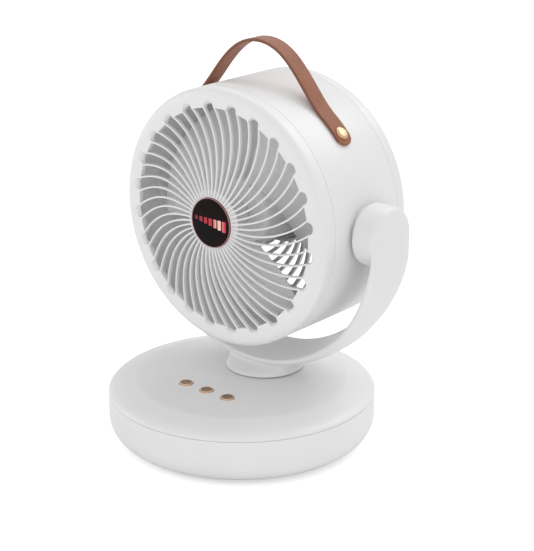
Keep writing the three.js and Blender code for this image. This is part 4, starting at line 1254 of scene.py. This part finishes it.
@dataclass
class SwivelNeck(Assembly):
    """Short neck between base and yoke; its top follows the yoke's face."""

    foot: float = 31.0  # radius of its foot
    top_x: float = 36.0  # half its top's width across the fan
    top_y: float = 18.0  # half its top's depth
    waist: float = 1.6  # how far it draws in between
    low: float = 49.4  # height of its foot
    chamfer: float = 0.4  # width of the foot's chamfer
    yoke_radius: float = 127.0  # radius of the yoke's outer face
    yoke_crown: float = 3.2  # fall of that face towards its edges
    band_half: float = 19.0  # half the width of the yoke's band
    bore: float = 9.0  # radius of the cable's way
    stem: float = 14.0  # radius of the stem in the base
    stem_low: float = 33.6  # height of its lower end
    clip_groove: Pair = (34.6, 36.7)  # lower and upper end of the clip's groove in it
    stub: float = 20.0  # radius of the stub in the lid's opening
    stub_low: float = 43.0  # height of its lower end
    steps: int = 14  # straight steps up its side

    def crown(self, x: float, y: float) -> float:
        """Height of the yoke's outer face over a point.

        Args:
            x: the point's place across the fan.
            y: its place along the fan.

        Returns:
            The height in millimetres.
        """
        share = min(abs(y) / self.band_half, 1.0)
        radius = self.yoke_radius - self.yoke_crown * share**3 + 0.05
        return TILT_Z - math.sqrt(radius * radius - x * x)

    def loop(self, t: float) -> list[Triple]:
        """The neck's outline a share of the way up.

        Args:
            t: the share, from 0 to 1.

        Returns:
            The points.
        """
        waist = self.waist * math.sin(math.pi * t)
        tops = (self.top_x, self.top_y)
        half_x, half_y = (mixed(self.foot, top, eased(t)) - waist for top in tops)
        points = []
        for c, s in ring_of(ROUND, 1.0):
            top = self.crown(self.top_x * c, self.top_y * s)
            points.append((half_x * c, half_y * s, mixed(self.low + self.chamfer, top, t)))
        return points

    def build(self) -> None:
        """Makes and dresses the neck with its hidden stub and tail."""
        sole = [(x, y, self.low) for x, y in ring_of(ROUND, self.foot - self.chamfer)]
        column = lofted([sole, *(self.loop(i / self.steps) for i in range(self.steps + 1))])
        bore, stem, low, (start, end) = self.bore, self.stem, self.stem_low, self.clip_groove
        stub, neck, high = self.stub, self.stub_low, self.low + 1.1
        tail = lathed([
            (bore, low, 0), (stem, low, 0.4), (stem, start, 0), (stem - 1, start, 0),
            (stem - 1, end, 0), (stem, end, 0), (stem, neck, 0), (stub, neck, 0.4), (stub, high, 0),
            (bore, high, 0),
        ], RING, closed=True)
        thing = placed("swivel_neck", Form.joined([column, tail]), Axis.SWIVEL)
        self.white(thing, "yoke", "swivel_column")


@dataclass
class TiltYoke(Assembly):
    """U-shaped yoke: moulded outer channel, inner cover and two round hubs."""

    outer: float = 127.0  # radius of its outer face
    crown: float = 3.2  # fall of that face towards its edges
    front_in: float = 120.5  # inner radius at its front edge
    rear_in: float = 113.0  # inner radius at its rear edge
    half: float = 19.0  # half the width of the band
    hub: float = 23.4  # radius of a hub
    hub_drop: float = 1.7  # how far its middle lies under the tilt axis
    flat: float = 123.2  # where the arms' outer faces turn flat, from the middle
    hub_edge: float = 4.5  # rounding of a hub's outer edge
    hub_face: float = 102.8  # where a hub's inner face lies, from the middle
    rim: float = 2.6  # width of the channel's side walls
    wall: float = 2.4  # thickness of the outer wall
    cover: float = 1.8  # thickness of the inner cover
    cup: float = 20.5  # radius of a tilt pin's cup
    cup_bore: float = 6.2  # radius of its bore
    cup_wall: float = 2.2  # thickness of its wall
    cup_floor: float = 4.0  # thickness of its floor
    cup_top: float = 118.0  # where its wall ends, from the middle
    voxel_mm: float = 0.8  # grid on which band and hubs melt into one
    steps: int = 120  # straight steps along the U

    def half_width(self, angle: float) -> float:
        """Half the band's width at an angle from +X."""
        return mixed(self.half, self.hub - 0.9, eased((abs(math.cos(angle)) - 0.72) / 0.27))

    def inner_at(self, share: float) -> float:
        """Radius of the inner face across the band."""
        return mixed(self.front_in, self.rear_in, (share + 1) / 2)

    def outer_at(self, share: float) -> float:
        """Radius of the outer face across the band."""
        return self.outer - self.crown * abs(share) ** 3

    def cover_at(self, share: float) -> float:
        """Radius of the inner cover's outer face across the band."""
        return self.inner_at(share) + self.cover

    def hubs(self, form: Form) -> list[tuple[Form, Axis]]:
        """A form about a hub's middle, set at both hubs."""
        places = ((Axis.RIGHT, self.hub_drop), (Axis.LEFT, -self.hub_drop))
        return [(form.strewn([(drop, 0)]), axis) for axis, drop in places]

    def band(
        self, side: float, low: Callable[[float], float], high: Callable[[float], float],
        rise: float, edge: float, flat: float,
    ) -> Form:
        """A part of the U.

        Args:
            side: how far its side walls are drawn in.
            low: its inner radius at a share of the half width.
            high: its outer radius.
            rise: distance of its ends under the tilt axis.
            edge: rounding of its long edges.
            flat: how far its ends reach from the middle.

        Returns:
            The closed shell about the tilt axis.
        """
        end = math.asin(rise / self.outer)
        shares = [1 - k / 8 for k in range(17)]
        loops = []
        for i in range(self.steps + 1):
            angle = mixed(-math.pi + end, -end, i / self.steps)
            half = self.half_width(angle) - side
            corners = [(-half, low(-1), edge), (half, low(1), edge)]
            corners += [
                (share * half, high(share), edge if abs(share) == 1 else 0.0) for share in shares
            ]
            loop = []
            for y, r in rounded(corners, closed=True, steps=4)[:-1]:
                past = min(1.0, max(0.0, (abs(y) - self.hub) / self.hub_edge + 1))
                reach = flat - self.hub_edge * (1 - math.sqrt(1 - past * past))
                x = max(-reach, min(reach, r * math.cos(angle)))
                loop.append((x, y, r * math.sin(angle)))
            loops.append(loop)
        return lofted(loops)

    def shell(self) -> Thing:
        """The outer moulding: band and hubs melted into one, then hollowed.

        Returns:
            The object.
        """
        whole = self.band(0, self.inner_at, self.outer_at, 1, 1.3, self.flat)
        thing = placed("yoke_shell", whole, Axis.TILT)
        drum = lathed([
            (0, self.hub_face, 0), (self.hub, self.hub_face, 0.8),
            (self.hub, self.flat, self.hub_edge), (0, self.flat, 0),
        ], ROUND, steps=10)
        for form, axis in self.hubs(drum):
            combined(thing, axis, form, change=Change.JOIN)
        melt = thing.modifiers.new("melt", "REMESH")
        melt.mode, melt.voxel_size = "VOXEL", self.voxel_mm * MM
        soften = thing.modifiers.new("soften", "SMOOTH")
        soften.factor, soften.iterations = 0.5, 6
        settled(thing)
        top, inner, low = self.flat - self.wall, self.hub - self.rim, self.hub_face - 1
        channel = self.band(
            self.rim,
            lambda share: self.inner_at(share) - 1,
            lambda share: max(self.outer_at(share) - self.wall, self.cover_at(share) + 0.3),
            4.0, 0, top,
        )
        combined(thing, Axis.TILT, channel)
        pocket = lathed([
            (0, low, 0), (inner, low, 0), (inner, top, self.hub_edge - self.wall), (0, top, 0),
        ], RING)
        for form, axis in self.hubs(pocket):
            combined(thing, axis, form)
        return thing

    def inner_cover(self) -> Thing:
        """The strip that closes the channel, with a cup for each tilt pin.

        Returns:
            The object.
        """
        top = self.flat - self.wall
        strip = self.band(self.rim + 0.3, self.inner_at, self.cover_at, 4.3, 0.3, top)
        thing = placed("yoke_inner_strip", strip, Axis.TILT)
        inner, floor = self.cup - self.cup_wall, self.hub_face + self.cup_floor
        cup = lathed([
            (self.cup_bore, self.hub_face, 0.4), (self.cup, self.hub_face, 0.5),
            (self.cup, self.cup_top, 0.3), (inner, self.cup_top, 0.3), (inner, floor, 0.6),
            (self.cup_bore, floor, 0.3),
        ], RING, closed=True)
        inside = rod(inner, floor, self.outer, RING)
        for (hollow, axis), (shell, _) in zip(self.hubs(inside), self.hubs(cup)):
            combined(thing, axis, hollow)
            combined(thing, axis, shell, change=Change.JOIN)
        return thing

    def build(self) -> None:
        """Makes and dresses the yoke."""
        self.white(self.shell(), "yoke", "yoke_outer")
        self.white(self.inner_cover(), "yoke", "yoke_inner_cover")


@dataclass
class DrumHead(Assembly):
    """Drum wall with the bosses of the tilt pins."""

    radius: float = 100.0  # its outer radius
    wall: float = 2.5  # its thickness
    front: float = 37.9  # front end of the wall, along the head's axis
    rear: float = -36.9  # rear end
    boss: float = 18.0  # radius of a boss
    boss_bore: float = 4.15  # radius of its bore
    boss_low: float = 95.0  # where a boss starts, from the middle
    boss_top: float = 101.2  # where it ends

    def build(self) -> None:
        """Makes and dresses the wall."""
        inner, low, top = self.radius - self.wall, self.boss_low, self.boss_top
        thing = placed("drum_wall", lathed([
            (inner, self.rear, 0.3), (self.radius, self.rear, 0.2),
            (self.radius, self.front, 0.2), (inner, self.front, 0.3),
        ], 256, closed=True, steps=3), Axis.HEAD)
        boss = lathed([
            (self.boss_bore, low, 0), (self.boss, low, 0.4), (self.boss, top, 0.4),
            (self.boss_bore, top, 0.3),
        ], RING, closed=True, steps=3)
        for axis in (Axis.RIGHT, Axis.LEFT):
            combined(thing, axis, rod(self.boss - 1, low + 1, top - 0.3))
            combined(thing, axis, boss, change=Change.JOIN)
        self.white(thing, "head", "drum_shell")


@dataclass
class SpiralGrille(Assembly):
    """A shell with spiral ribs that closes one end of the drum."""

    spiral: Plan  # the tree that makes spiral ribs
    ribs: int = 48  # number of ribs
    radius: float = 85.0  # outer end of the ribs
    hub: float = 24.0  # inner end of the ribs
    sweep: float = 0.32  # turn of a rib from hub to rim, in radians
    rim_radius: float = 100.0  # outer radius of the shell
    edge: float = 6.0  # rounding of its outer edge
    seam: float = 38.1  # where it meets the drum, on the head's axis
    lip: Pair = (97.2, 95.0)  # outer and inner radius of the lip that enters the drum

    def spiral_ribs(self, name: str, shape: dict[str, float]) -> None:
        """Makes and dresses the ribs.

        Args:
            name: the piece's name.
            shape: the tree's inputs that are this grille's own.
        """
        values = {
            "Count": self.ribs, "Inner radius": self.hub, "Outer radius": self.radius,
            "Sweep": self.sweep, "Finish": self.finishes.white, **shape,
        }
        thing = self.spiral.baked(placed(name, Form([], [])), values, Axis.HEAD)
        self.white(thing, "head")


@dataclass
class FrontGrille(SpiralGrille):
    """Bezel with scalloped slots, domed spiral ribs and the hub disc."""

    arch: float = 5.6  # how far the rounded end of every second slot goes on
    face: float = 51.5  # height of the bezel's flat face on the head's axis
    dome: float = 8.8  # rise of the ribs from rim to hub
    power: float = 1.45  # how late along a rib its turn comes
    rib_width: float = 1.35
    rib_height: float = 3.6
    bends: int = 14  # straight steps of an arch
    straight: int = 5  # straight steps between two arches

    def mouth(self) -> Outline:
        """The scalloped inner edge, once round.

        Returns:
            Its angles with its reach into the bezel.
        """
        pitch = FULL_TURN / self.ribs
        slope = self.sweep * self.power / (self.radius - self.hub)
        lean = math.hypot(1, self.radius * slope)
        half = pitch / 2 - self.rib_width / 2 * lean / self.radius
        line = []
        for k in range(0, self.ribs, 2):
            middle = (k + 0.5) * pitch + self.sweep
            for i in range(self.bends + 1):
                t = math.pi * i / self.bends
                line.append((middle - half * math.cos(t), self.arch * math.sin(t)))
            left, right = middle + half, middle + 2 * pitch - half
            for i in range(1, self.straight):
                line.append((mixed(left, right, i / self.straight), 0.0))
        return line

    def bezel(self) -> Form:
        """The ring round the slots, its arches cut as sloping scoops.

        Returns:
            The closed shell.
        """
        wide, face, seam = self.rim_radius, self.face, self.seam
        flat, back, (lip, bore) = wide - self.edge, face - self.rib_height, self.lip
        outside = [
            (flat - 0.6, face), (flat, face),
            *arc((flat, face - self.edge), self.edge, QUARTER, 0, 12)[1:],
            (wide, seam + 0.2), (wide - 0.2, seam), (lip, seam), (lip, 34.6), (lip - 0.3, 34.5),
            (bore + 0.2, 34.5), (bore, 34.7), (bore, 45.7), (flat - 1, back),
        ]
        loops = []
        for angle, reach in self.mouth():
            scoop, near = 0.5 * reach, self.radius + reach
            section = [
                (near - scoop - 0.15, back),
                (near - scoop, back + 0.5),
                (near - 0.62 * scoop - 0.05, face - 1.9 + 0.5 * reach / self.arch),
                (near - 0.25 * scoop, face - 0.75),
                (near + 0.05, face - 0.28),
                (near + 0.3, face - 0.07),
                (near + 0.6, face),
                *outside,
            ]
            c, s = math.cos(angle), math.sin(angle)
            loops.append([(r * c, r * s, z) for r, z in section])
        return lofted(loops, ring=True)

    def hub_disc(self) -> Form:
        """The disc that the ribs run into, with the badge's seat.

        Returns:
            The closed shell.
        """
        top, hub = self.face + self.dome, self.hub
        return lathed([
            (0, top - 3.6, 0), (hub + 0.6, top - 3.4, 0.6), (hub + 0.4, top - 1.3, 0.6),
            (20.4, top - 0.8, 0.3), (20.2, top + 0.6, 0.4), (19.3, top + 0.6, 0.25),
            (19.3, top - 0.1, 0), (0, top - 0.1, 0),
        ], ROUND, steps=4)

    def build(self) -> None:
        """Makes and dresses the grille."""
        frame = Form.joined([self.bezel(), self.hub_disc()])
        self.white(placed("grille_bezel", frame, Axis.HEAD), "head", "front_grille")
        self.spiral_ribs("grille_front_ribs", {
            "Run past the hub": -0.06, "Sweep power": self.power, "Width": self.rib_width,
            "Height": self.rib_height, "Face height": self.face - 0.06, "Dome height": self.dome,
        })


@dataclass
class HubBadge(Assembly):
    """Black disc with its rosy ring and a plain row of speed bars."""

    radius: float = 18.4  # radius of the disc
    top: float = 62.1  # height of its face on the head's axis
    thick: float = 1.6  # thickness of the disc
    bars: int = 7  # number of bars
    row_x: Pair = (-14.2, 13.6)  # where the first and the last bar lie, across
    row_y: Pair = (1.9, -0.7)  # where they lie, upwards
    heights: Pair = (3.0, 8.4)  # their heights
    halves: Pair = (1.5, 1.75)  # half their widths

    def bar_row(self) -> Form:
        """Low bars that grow to the right, on a falling line.

        Returns:
            The bars as one form.
        """
        ends = (self.row_x, self.row_y, self.heights, self.halves)
        forms = []
        for k in range(self.bars):
            x, y, tall, half = (mixed(*pair, k / (self.bars - 1)) for pair in ends)
            outline = plate((x, y), (2 * half, tall), 0.5, steps=3)
            ends_z = (self.top - 0.2, self.top + 0.07)
            forms.append(lofted([[(*point, z) for point in outline] for z in ends_z]))
        return Form.joined(forms)

    def build(self) -> None:
        """Makes and dresses the badge."""
        r, top, low = self.radius, self.top, self.top - self.thick
        disc = lathed([(0, low, 0), (r, low, 0.2), (r, top, 0.6), (0, top, 0)], ROUND, steps=6)
        ring = lathed([
            (r + 0.15, low, 0.1), (r + 0.75, low, 0.1), (r + 0.75, top + 0.1, 0.25),
            (r + 0.15, top + 0.1, 0.25),
        ], ROUND, closed=True)
        f = self.finishes
        for name, form, finish, slot, nodes in (
            ("badge_face", disc, f.gloss, "black_gloss", ["badge_disc"]),
            ("badge_rose_ring", ring, f.rose, "rose_ring", ["badge_ring"]),
            ("badge_speed_bars", self.bar_row(), f.ruby, "black_gloss", []),
        ):
            dressed(placed(name, form, Axis.HEAD), finish, "head", slot, nodes)


@dataclass
class RearGrille(SpiralGrille):
    """Rounded rear shell with spiral ribs and the motor's cup."""

    radius: float = 84.0
    hub: float = 38.0
    sweep: float = -0.26
    edge: float = 8.0
    seam: float = -37.1
    back: float = -51.0  # outer face of the plate on the head's axis
    thick: float = 2.6  # thickness of the plate
    rib_width: float = 3.0
    rib_depth: float = 4.2  # depth of the ribs, inwards
    cup: float = 34.0  # radius of the motor's cup
    cup_wall: float = 2.4  # thickness of its wall
    cup_end: float = -17.0  # where it ends, on the head's axis

    def rim(self) -> Form:
        """The rounded ring between the ribs and the drum.

        Returns:
            The closed shell.
        """
        wide, back, seam, (lip, bore) = self.rim_radius, self.back, self.seam, self.lip
        flat, inside = wide - self.edge, back + self.thick
        outline = rounded([(self.radius, inside, 0.4), (self.radius, back, 0.7), (flat, back, 0)])
        outline += arc((flat, back + self.edge), self.edge, -QUARTER, 0, 14)[1:]
        return turned([
            *outline, (wide, seam - 0.2), (wide - 0.2, seam), (lip, seam), (lip, seam + 3.5),
            (lip - 0.3, seam + 3.8), (bore + 0.2, seam + 3.8), (bore, seam + 3.5),
            (bore, seam - 2.7), (bore - 1.5, seam - 7.2), (flat, inside), (self.radius, inside),
        ])

    def build(self) -> None:
        """Makes and dresses the rear shell."""
        back, inside, cup = self.back, self.back + self.thick, self.cup
        bore, dish = cup - self.cup_wall, back + 0.5
        plate_and_cup = lathed([
            (0, dish, 0), (22.0, dish, 0.3), (22.6, back, 0.3), (self.hub, back, 0.9),
            (self.hub, inside, 0.4), (cup, inside, 0.6), (cup, self.cup_end, 0.4),
            (bore, self.cup_end, 0.4), (bore, inside, 0.6), (0, inside, 0),
        ], ROUND, steps=4)
        shell = placed("rear_shell", Form.joined([self.rim(), plate_and_cup]), Axis.HEAD)
        self.white(shell, "head", "rear_grille")
        self.spiral_ribs("grille_rear_ribs", {
            "Run past the hub": -0.03, "Run past the rim": 1.03, "Width": self.rib_width,
            "Height": self.rib_depth, "Width at the hub": 1.0, "Edge rounding": 0.7,
            "Face height": back + self.rib_depth + 0.05, "Dome height": 0.0,
        })


@dataclass
class FanWheel(Assembly):
    """Three broad blades round a hub, with the domed nut before it."""

    pattern: Plan  # the tree that repeats a piece on a circle
    blades: int = 3  # number of blades
    hub: float = 27.0  # radius of the hub
    bore: float = 3.15  # radius of the shaft's bore
    tip: float = 83.0  # radius of the blades' tips
    thick: float = 2.2  # thickness of a blade
    span: float = 1.62  # angle that one blade covers, in radians
    root_depth: float = 34.0  # axial depth of a blade at the hub
    tip_depth: float = 24.0  # axial depth at the tip
    middle: float = 12.0  # where the blades' middle lies on the head's axis
    phase: float = 0.5  # angle of the first blade, in radians
    lag: float = 0.3  # how far the tip trails the root, in radians
    clip: float = 0.31  # how far a tip's front edge is cut back, in radians
    overlap: float = 0.37  # how far the rear edge runs on towards the next blade, in radians
    camber: float = 0.12  # rise of a blade's middle, as a share of its depth
    rows: int = 26  # straight steps from root to tip
    across: int = 30  # straight steps from edge to edge

    def section(self, t: float) -> list[Triple]:
        """A blade's section a share of the way from root to tip.

        Args:
            t: the share, from 0 to 1.

        Returns:
            The points of its rear side, then of its front side.
        """
        r = mixed(self.hub - 1.2, self.tip, t)
        depth = mixed(self.root_depth, self.tip_depth, t)
        span = self.span * mixed(0.92, 1, math.sin(math.pi * t))
        thin = min(1.0, (1 - t) * 12 + 0.35)
        rear = [k / self.across for k in range(self.across + 1)]
        points = []
        for side, shares in ((-1, rear), (1, rear[::-1])):
            for v in shares:
                a = self.lag * t * t + (v - 0.5) * span
                a -= self.clip * t * t * v + self.overlap * (1 - v)
                bow = self.camber * depth * math.sin(math.pi * v)
                body = math.sqrt(max(math.sin(math.pi * mixed(0.01, 0.99, v)), 0)) * thin
                z = self.middle + (v - 0.5) * depth + bow + side * self.thick / 2 * body
                points.append((r * math.cos(a), r * math.sin(a), z))
        return points

    def build(self) -> None:
        """Makes and dresses the wheel and its nut."""
        pale, bore, hub = self.finishes.pale, self.bore, self.hub
        blade = lofted([self.section(i / self.rows) for i in range(self.rows + 1)])
        values = {"Count": self.blades, "Phase": self.phase, "Finish": pale}
        blades = self.pattern.baked(placed("fan_blades", blade), values, Axis.HEAD)
        wheel = placed("fan_wheel", lathed([
            (bore, 28.0, 0), (hub, 28.0, 5.0), (hub, -7.0, 0.5), (24.6, -7.0, 0.4),
            (24.6, 25.6, 3.0), (7.0, 25.6, 0.5), (7.0, -4.0, 0.4), (bore, -4.0, 0),
        ], ROUND, closed=True, steps=7), Axis.HEAD)
        merged(wheel, blades)
        dressed(wheel, pale, "fan", "pale_plastic", ["impeller"])
        nut = placed("fan_spinner_nut", lathed([
            (bore, 28.3, 0), (8.0, 28.3, 0.3), (8.0, 31.0, 0.8), (5.6, 34.4, 2.0), (0, 35.2, 0),
            (0, 33.4, 0), (bore, 28.3, 0),
        ], SMALL), Axis.HEAD)
        dressed(nut, pale, "fan", "pale_plastic", ["spinner_nut"])


@dataclass
class StrapHandle(Assembly):
    """Leather strap riveted to the drum at both sides."""

    width: float = 15.5  # its width
    thick: float = 2.4  # its thickness
    offset: float = 1.2  # how far it lies before the tilt axis
    rivet_angle: float = 0.826  # angle of the rivets from the top, in radians
    hug: float = 0.16  # how far it lies on the drum above a rivet, in radians
    tail: float = 9.5  # how far it goes on below a rivet
    crown: float = 129.4  # height of its middle over the tilt axis
    rise: float = 24.5  # pull of the curve that leaves the drum
    top_pull: float = 30.6  # pull of the curve at the crown
    drum: float = 100.0  # radius of the drum
    rivet_radius: float = 5.2  # radius of a rivet's head
    reach: float = 0.6  # half the run over which the strap's direction is taken

    def line(self) -> np.ndarray:
        """The strap's middle line, left to right.

        Returns:
            Its points, one to a row.
        """
        r = self.drum + 0.12 + self.thick / 2
        tip, leave = self.rivet_angle + self.tail / r, self.rivet_angle - self.hug

        def on_drum(a: float) -> Pair:
            """A point on the drum at an angle from its top."""
            return (r * math.sin(a), r * math.cos(a))

        x, y = on_drum(leave)
        pull = (x - math.cos(leave) * self.rise, y + math.sin(leave) * self.rise)
        lay = [on_drum(mixed(tip, leave, i / 24)) for i in range(24)]
        right = [*lay, *cubic(((x, y), pull, (self.top_pull, self.crown), (0, self.crown)), 70)]
        return np.array([*((-x, y) for x, y in right[:-1]), *reversed(right)])

    def band(self) -> Form:
        """The strap with round ends and softly rounded edges.

        Returns:
            The closed shell.
        """
        line, wide = self.line(), self.width / 2
        run = np.concatenate([[0], np.cumsum(np.linalg.norm(np.diff(line, axis=0), axis=1))])
        total = run[-1]

        def at(s: float) -> Vector:
            """The point of the middle line at a length along it."""
            held = min(max(s, 0), total)
            return Vector([float(np.interp(held, run, line[:, k])) for k in (0, 1)])

        round_end = [wide * (1 - math.cos(QUARTER * k / 14)) for k in range(15)]
        middle = list(np.linspace(wide, total - wide, 150))[1:-1]
        loops = []
        for s in [*round_end, *middle, *(total - end for end in reversed(round_end))]:
            spot, way = at(s), (at(s + self.reach) - at(s - self.reach)).normalized()
            tip = min(s, total - s)
            end = min(tip, wide)
            half = max(math.sqrt(max(self.width * end - end * end, 0)), 0.6)
            h = self.thick / 2 * min(1.0, 0.72 + tip / 2.5)
            section = plate((0, 0), (2 * half, 2 * h), min(0.75, half / 2))
            loops.append([
                (spot.x - way.y * t, spot.y + way.x * t, self.offset + w) for w, t in section
            ])
        return lofted(loops)

    def rivet(self, side: int) -> Form:
        """A domed rivet that stands on the strap.

        Args:
            side: -1 for the left one, 1 for the right one.

        Returns:
            The closed shell.
        """
        out, low, r = self.drum + self.thick + 0.25, self.drum - 2.2, self.rivet_radius
        dome = lathed([
            (0, low, 0), (2.0, low, 0.2), (2.0, out, 0), (r, out, 0.25), (r, out + 0.6, 0.4),
            (3.4, out + 1.65, 1.6), (0, out + 1.9, 0),
        ], SMALL, steps=7)
        turn = Matrix.Rotation(-side * self.rivet_angle, 4, "Z") @ Matrix.Rotation(-QUARTER, 4, "X")
        return dome.moved(Matrix.Translation((0, 0, self.offset)) @ turn)

    def build(self) -> None:
        """Makes and dresses the strap and its rivets."""
        leather, brass = self.finishes.leather, self.finishes.brass
        strap = placed("strap_band", self.band(), Axis.HEAD)
        dressed(strap, leather, "head", "strap_leather", ["strap_handle"])
        for side, word in ((-1, "left"), (1, "right")):
            rivet = placed(f"strap_{word}_rivet", self.rivet(side), Axis.HEAD)
            dressed(rivet, brass, "head", "brass", [f"strap_rivet_{word}"])


@dataclass
class HiddenWorks(Assembly):
    """CAD solids that stay as they are, each given its finish."""

    def build(self, nodes: dict[str, Thing]) -> None:
        """Dresses the carried-over solids.

        Args:
            nodes: the frame's CAD objects by name.
        """
        f = self.finishes
        coats = {
            ("ballast_plate",): f.iron,
            ("control_board",): f.board,
            ("tact_switch",): f.dark,
            ("drive_pinion", "swing_gear", "thrust_ring", "tilt_washer"): f.nylon,
            ("swing_motor", "swing_shaft", "gear_clip", "fan_motor", "motor_shaft"): f.steel,
            ("board_screw", "tilt_pin", "tilt_nut"): f.steel,
        }
        for name, thing in nodes.items():
            for starts, coat in coats.items():
                if name.startswith(starts):
                    thing.data.materials.clear()
                    thing.data.materials.append(coat)
                    LOG.info("%s: kept from the frame", name)


# ----------------------------------------------------------------- studio


def toward(azimuth: float, elevation: float) -> Vector:
    """The direction from the fan to a place seen from it.

    Args:
        azimuth: the place's turn round the fan in degrees, 0 in front and 90 at +X.
        elevation: its height over the horizon, in degrees.

    Returns:
        A vector of length 1.
    """
    a, e = math.radians(azimuth), math.radians(elevation)
    return Vector((math.sin(a) * math.cos(e), -math.cos(a) * math.cos(e), math.sin(e)))


@dataclass
class Studio:
    """Pale floor, soft lamps, white surroundings and the camera."""

    azimuth: float = 40.631  # the camera's turn round the object, in degrees
    elevation: float = 19.642  # its height over the horizon, in degrees
    roll: float = -0.056  # its roll, in degrees
    distance: float = 1238.83  # its distance from the target, in millimetres
    focal: float = 1605.03  # its focal length in pixels of the photograph
    target_x: float = 19.948  # the target's place to the right of the base's middle
    target_z: float = 131.148  # the target's height
    long_side: float = 551.0  # the photograph's longer side, in pixels
    sensor: float = 36.0  # width of the camera's sensor, in millimetres
    clip: Pair = (0.05, 50.0)  # nearest and farthest distance seen, in metres
    lamp_size: float = 1.0  # side of a lamp, in metres
    lamp_distance: float = 1.7  # its distance from the fan
    lamp_aim: float = 0.15  # height that the lamps look at
    # each one's name, azimuth, elevation and power in watts
    lamps: tuple[tuple[str, float, float, float], ...] = (
        ("front_low", 15, 7, 2.4),
        ("right_low", 65, 5, 2.6),
        ("left_low", -65, 10, 3.9),
        ("front_high", 0, 45, 1.7),
        ("back_right", 155, 50, 7.6),
        ("back_left", 215, 50, 3.8),
    )
    ambient: float = 0.67  # strength of the grey light all round
    floor_half: float = 4.0  # half the floor's side, in metres
    floor_glow: float = 0.42  # light that the camera alone sees in the floor

    def camera(self) -> None:
        """Makes the camera at the photograph's angle."""
        back = toward(self.azimuth, self.elevation)
        right = toward(self.azimuth + 90, 0)
        up = back.cross(right)
        c, s = math.cos(math.radians(self.roll)), math.sin(math.radians(self.roll))
        target = right * self.target_x + Vector((0, 0, self.target_z))
        data = bpy.data.cameras.new("camera")
        data.sensor_width = self.sensor
        data.lens = self.focal * self.sensor / self.long_side
        data.clip_start, data.clip_end = self.clip
        eye = bpy.data.objects.new("camera", data)
        place = Matrix((right * c + up * s, up * c - right * s, back)).transposed().to_4x4()
        place.translation = (target + back * self.distance) * MM
        eye.matrix_world = place
        bpy.context.scene.collection.objects.link(eye)
        bpy.context.scene.camera = eye

    def lamp(self, name: str, azimuth: float, elevation: float, power: float) -> None:
        """A square soft lamp that looks at the fan.

        Args:
            name: its name.
            azimuth: its turn round the fan, in degrees, 0 in front and 90 at +X.
            elevation: its height, in degrees.
            power: its power in watts.
        """
        data = bpy.data.lights.new(name, "AREA")
        data.shape, data.size, data.energy = "SQUARE", self.lamp_size, power
        way = toward(azimuth, elevation)
        thing = bpy.data.objects.new(name, data)
        thing.location = Vector((0, 0, self.lamp_aim)) + way * self.lamp_distance
        thing.rotation_euler = way.to_track_quat("Z", "Y").to_euler()
        bpy.context.scene.collection.objects.link(thing)

    def world(self) -> None:
        """Soft grey light all round that cameras and transmission rays see as white."""
        world = bpy.data.worlds.new("studio")
        bpy.context.scene.world = world
        world.use_nodes = True
        nodes = Nodes(world.node_tree)
        nodes.tree.nodes.clear()
        path = nodes.node("ShaderNodeLightPath").outputs
        seen = Wire(nodes, path["Is Camera Ray"]).maths(
            "MAXIMUM", Wire(nodes, path["Is Transmission Ray"])
        )
        lights = (((0.99, 0.99, 1.0), self.ambient), ((1, 1, 1), 1.0))
        grey, white = (
            nodes.wire("ShaderNodeBackground", {"Color": colour, "Strength": level})
            for colour, level in lights
        )
        both = nodes.wire("ShaderNodeMixShader", {0: seen, 1: grey, 2: white})
        nodes.node("ShaderNodeOutputWorld", {0: both})

    def floor(self) -> None:
        """A wide pale floor that keeps the fan's soft shadow."""
        r = self.floor_half
        square = Form([(-r, -r, 0), (r, -r, 0), (r, r, 0), (-r, r, 0)], [(0, 1, 2, 3)])
        thing = placed("floor", square)
        sheet = Sheet("floor_pale")
        sheet.finish(
            Base_Color=sheet.tint(sheet.noise(30.0), (0.93, 0.93, 0.93), (0.95, 0.95, 0.95)),
            Roughness=0.9,
            Specular_IOR_Level=0.1,
        )
        dark, lit = (
            sheet.wire("ShaderNodeEmission", {"Color": (1, 1, 1), "Strength": glow})
            for glow in (0.0, self.floor_glow)
        )
        eye = sheet.wire("ShaderNodeLightPath", output="Is Camera Ray")
        glow = sheet.wire("ShaderNodeMixShader", {0: eye, 1: dark, 2: lit})
        plain = Wire(sheet, sheet.shader.outputs[0])
        total = sheet.wire("ShaderNodeAddShader", {0: plain, 1: glow})
        sheet.feed(sheet.tree.nodes["Material Output"].inputs[0], total)
        thing.data.materials.append(sheet.material)

    def build(self) -> None:
        """Sets the stage."""
        bpy.context.scene.view_settings.view_transform = "Standard"
        self.camera()
        self.world()
        for lamp in self.lamps:
            self.lamp(*lamp)
        self.floor()


def main() -> None:
    """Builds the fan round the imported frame."""
    logging.basicConfig(level=logging.INFO, format="%(name)s %(message)s")
    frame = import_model()
    Studio().build()
    finishes = Finishes()
    pattern, spiral = pattern_plan(), spiral_plan()
    BaseHousing(finishes, pattern).build()
    SwivelNeck(finishes).build()
    TiltYoke(finishes).build()
    DrumHead(finishes).build()
    FrontGrille(finishes, spiral).build()
    HubBadge(finishes).build()
    RearGrille(finishes, spiral).build()
    FanWheel(finishes, pattern).build()
    StrapHandle(finishes).build()
    HiddenWorks(finishes).build(frame["nodes"])


if __name__ == "__main__":
    main()
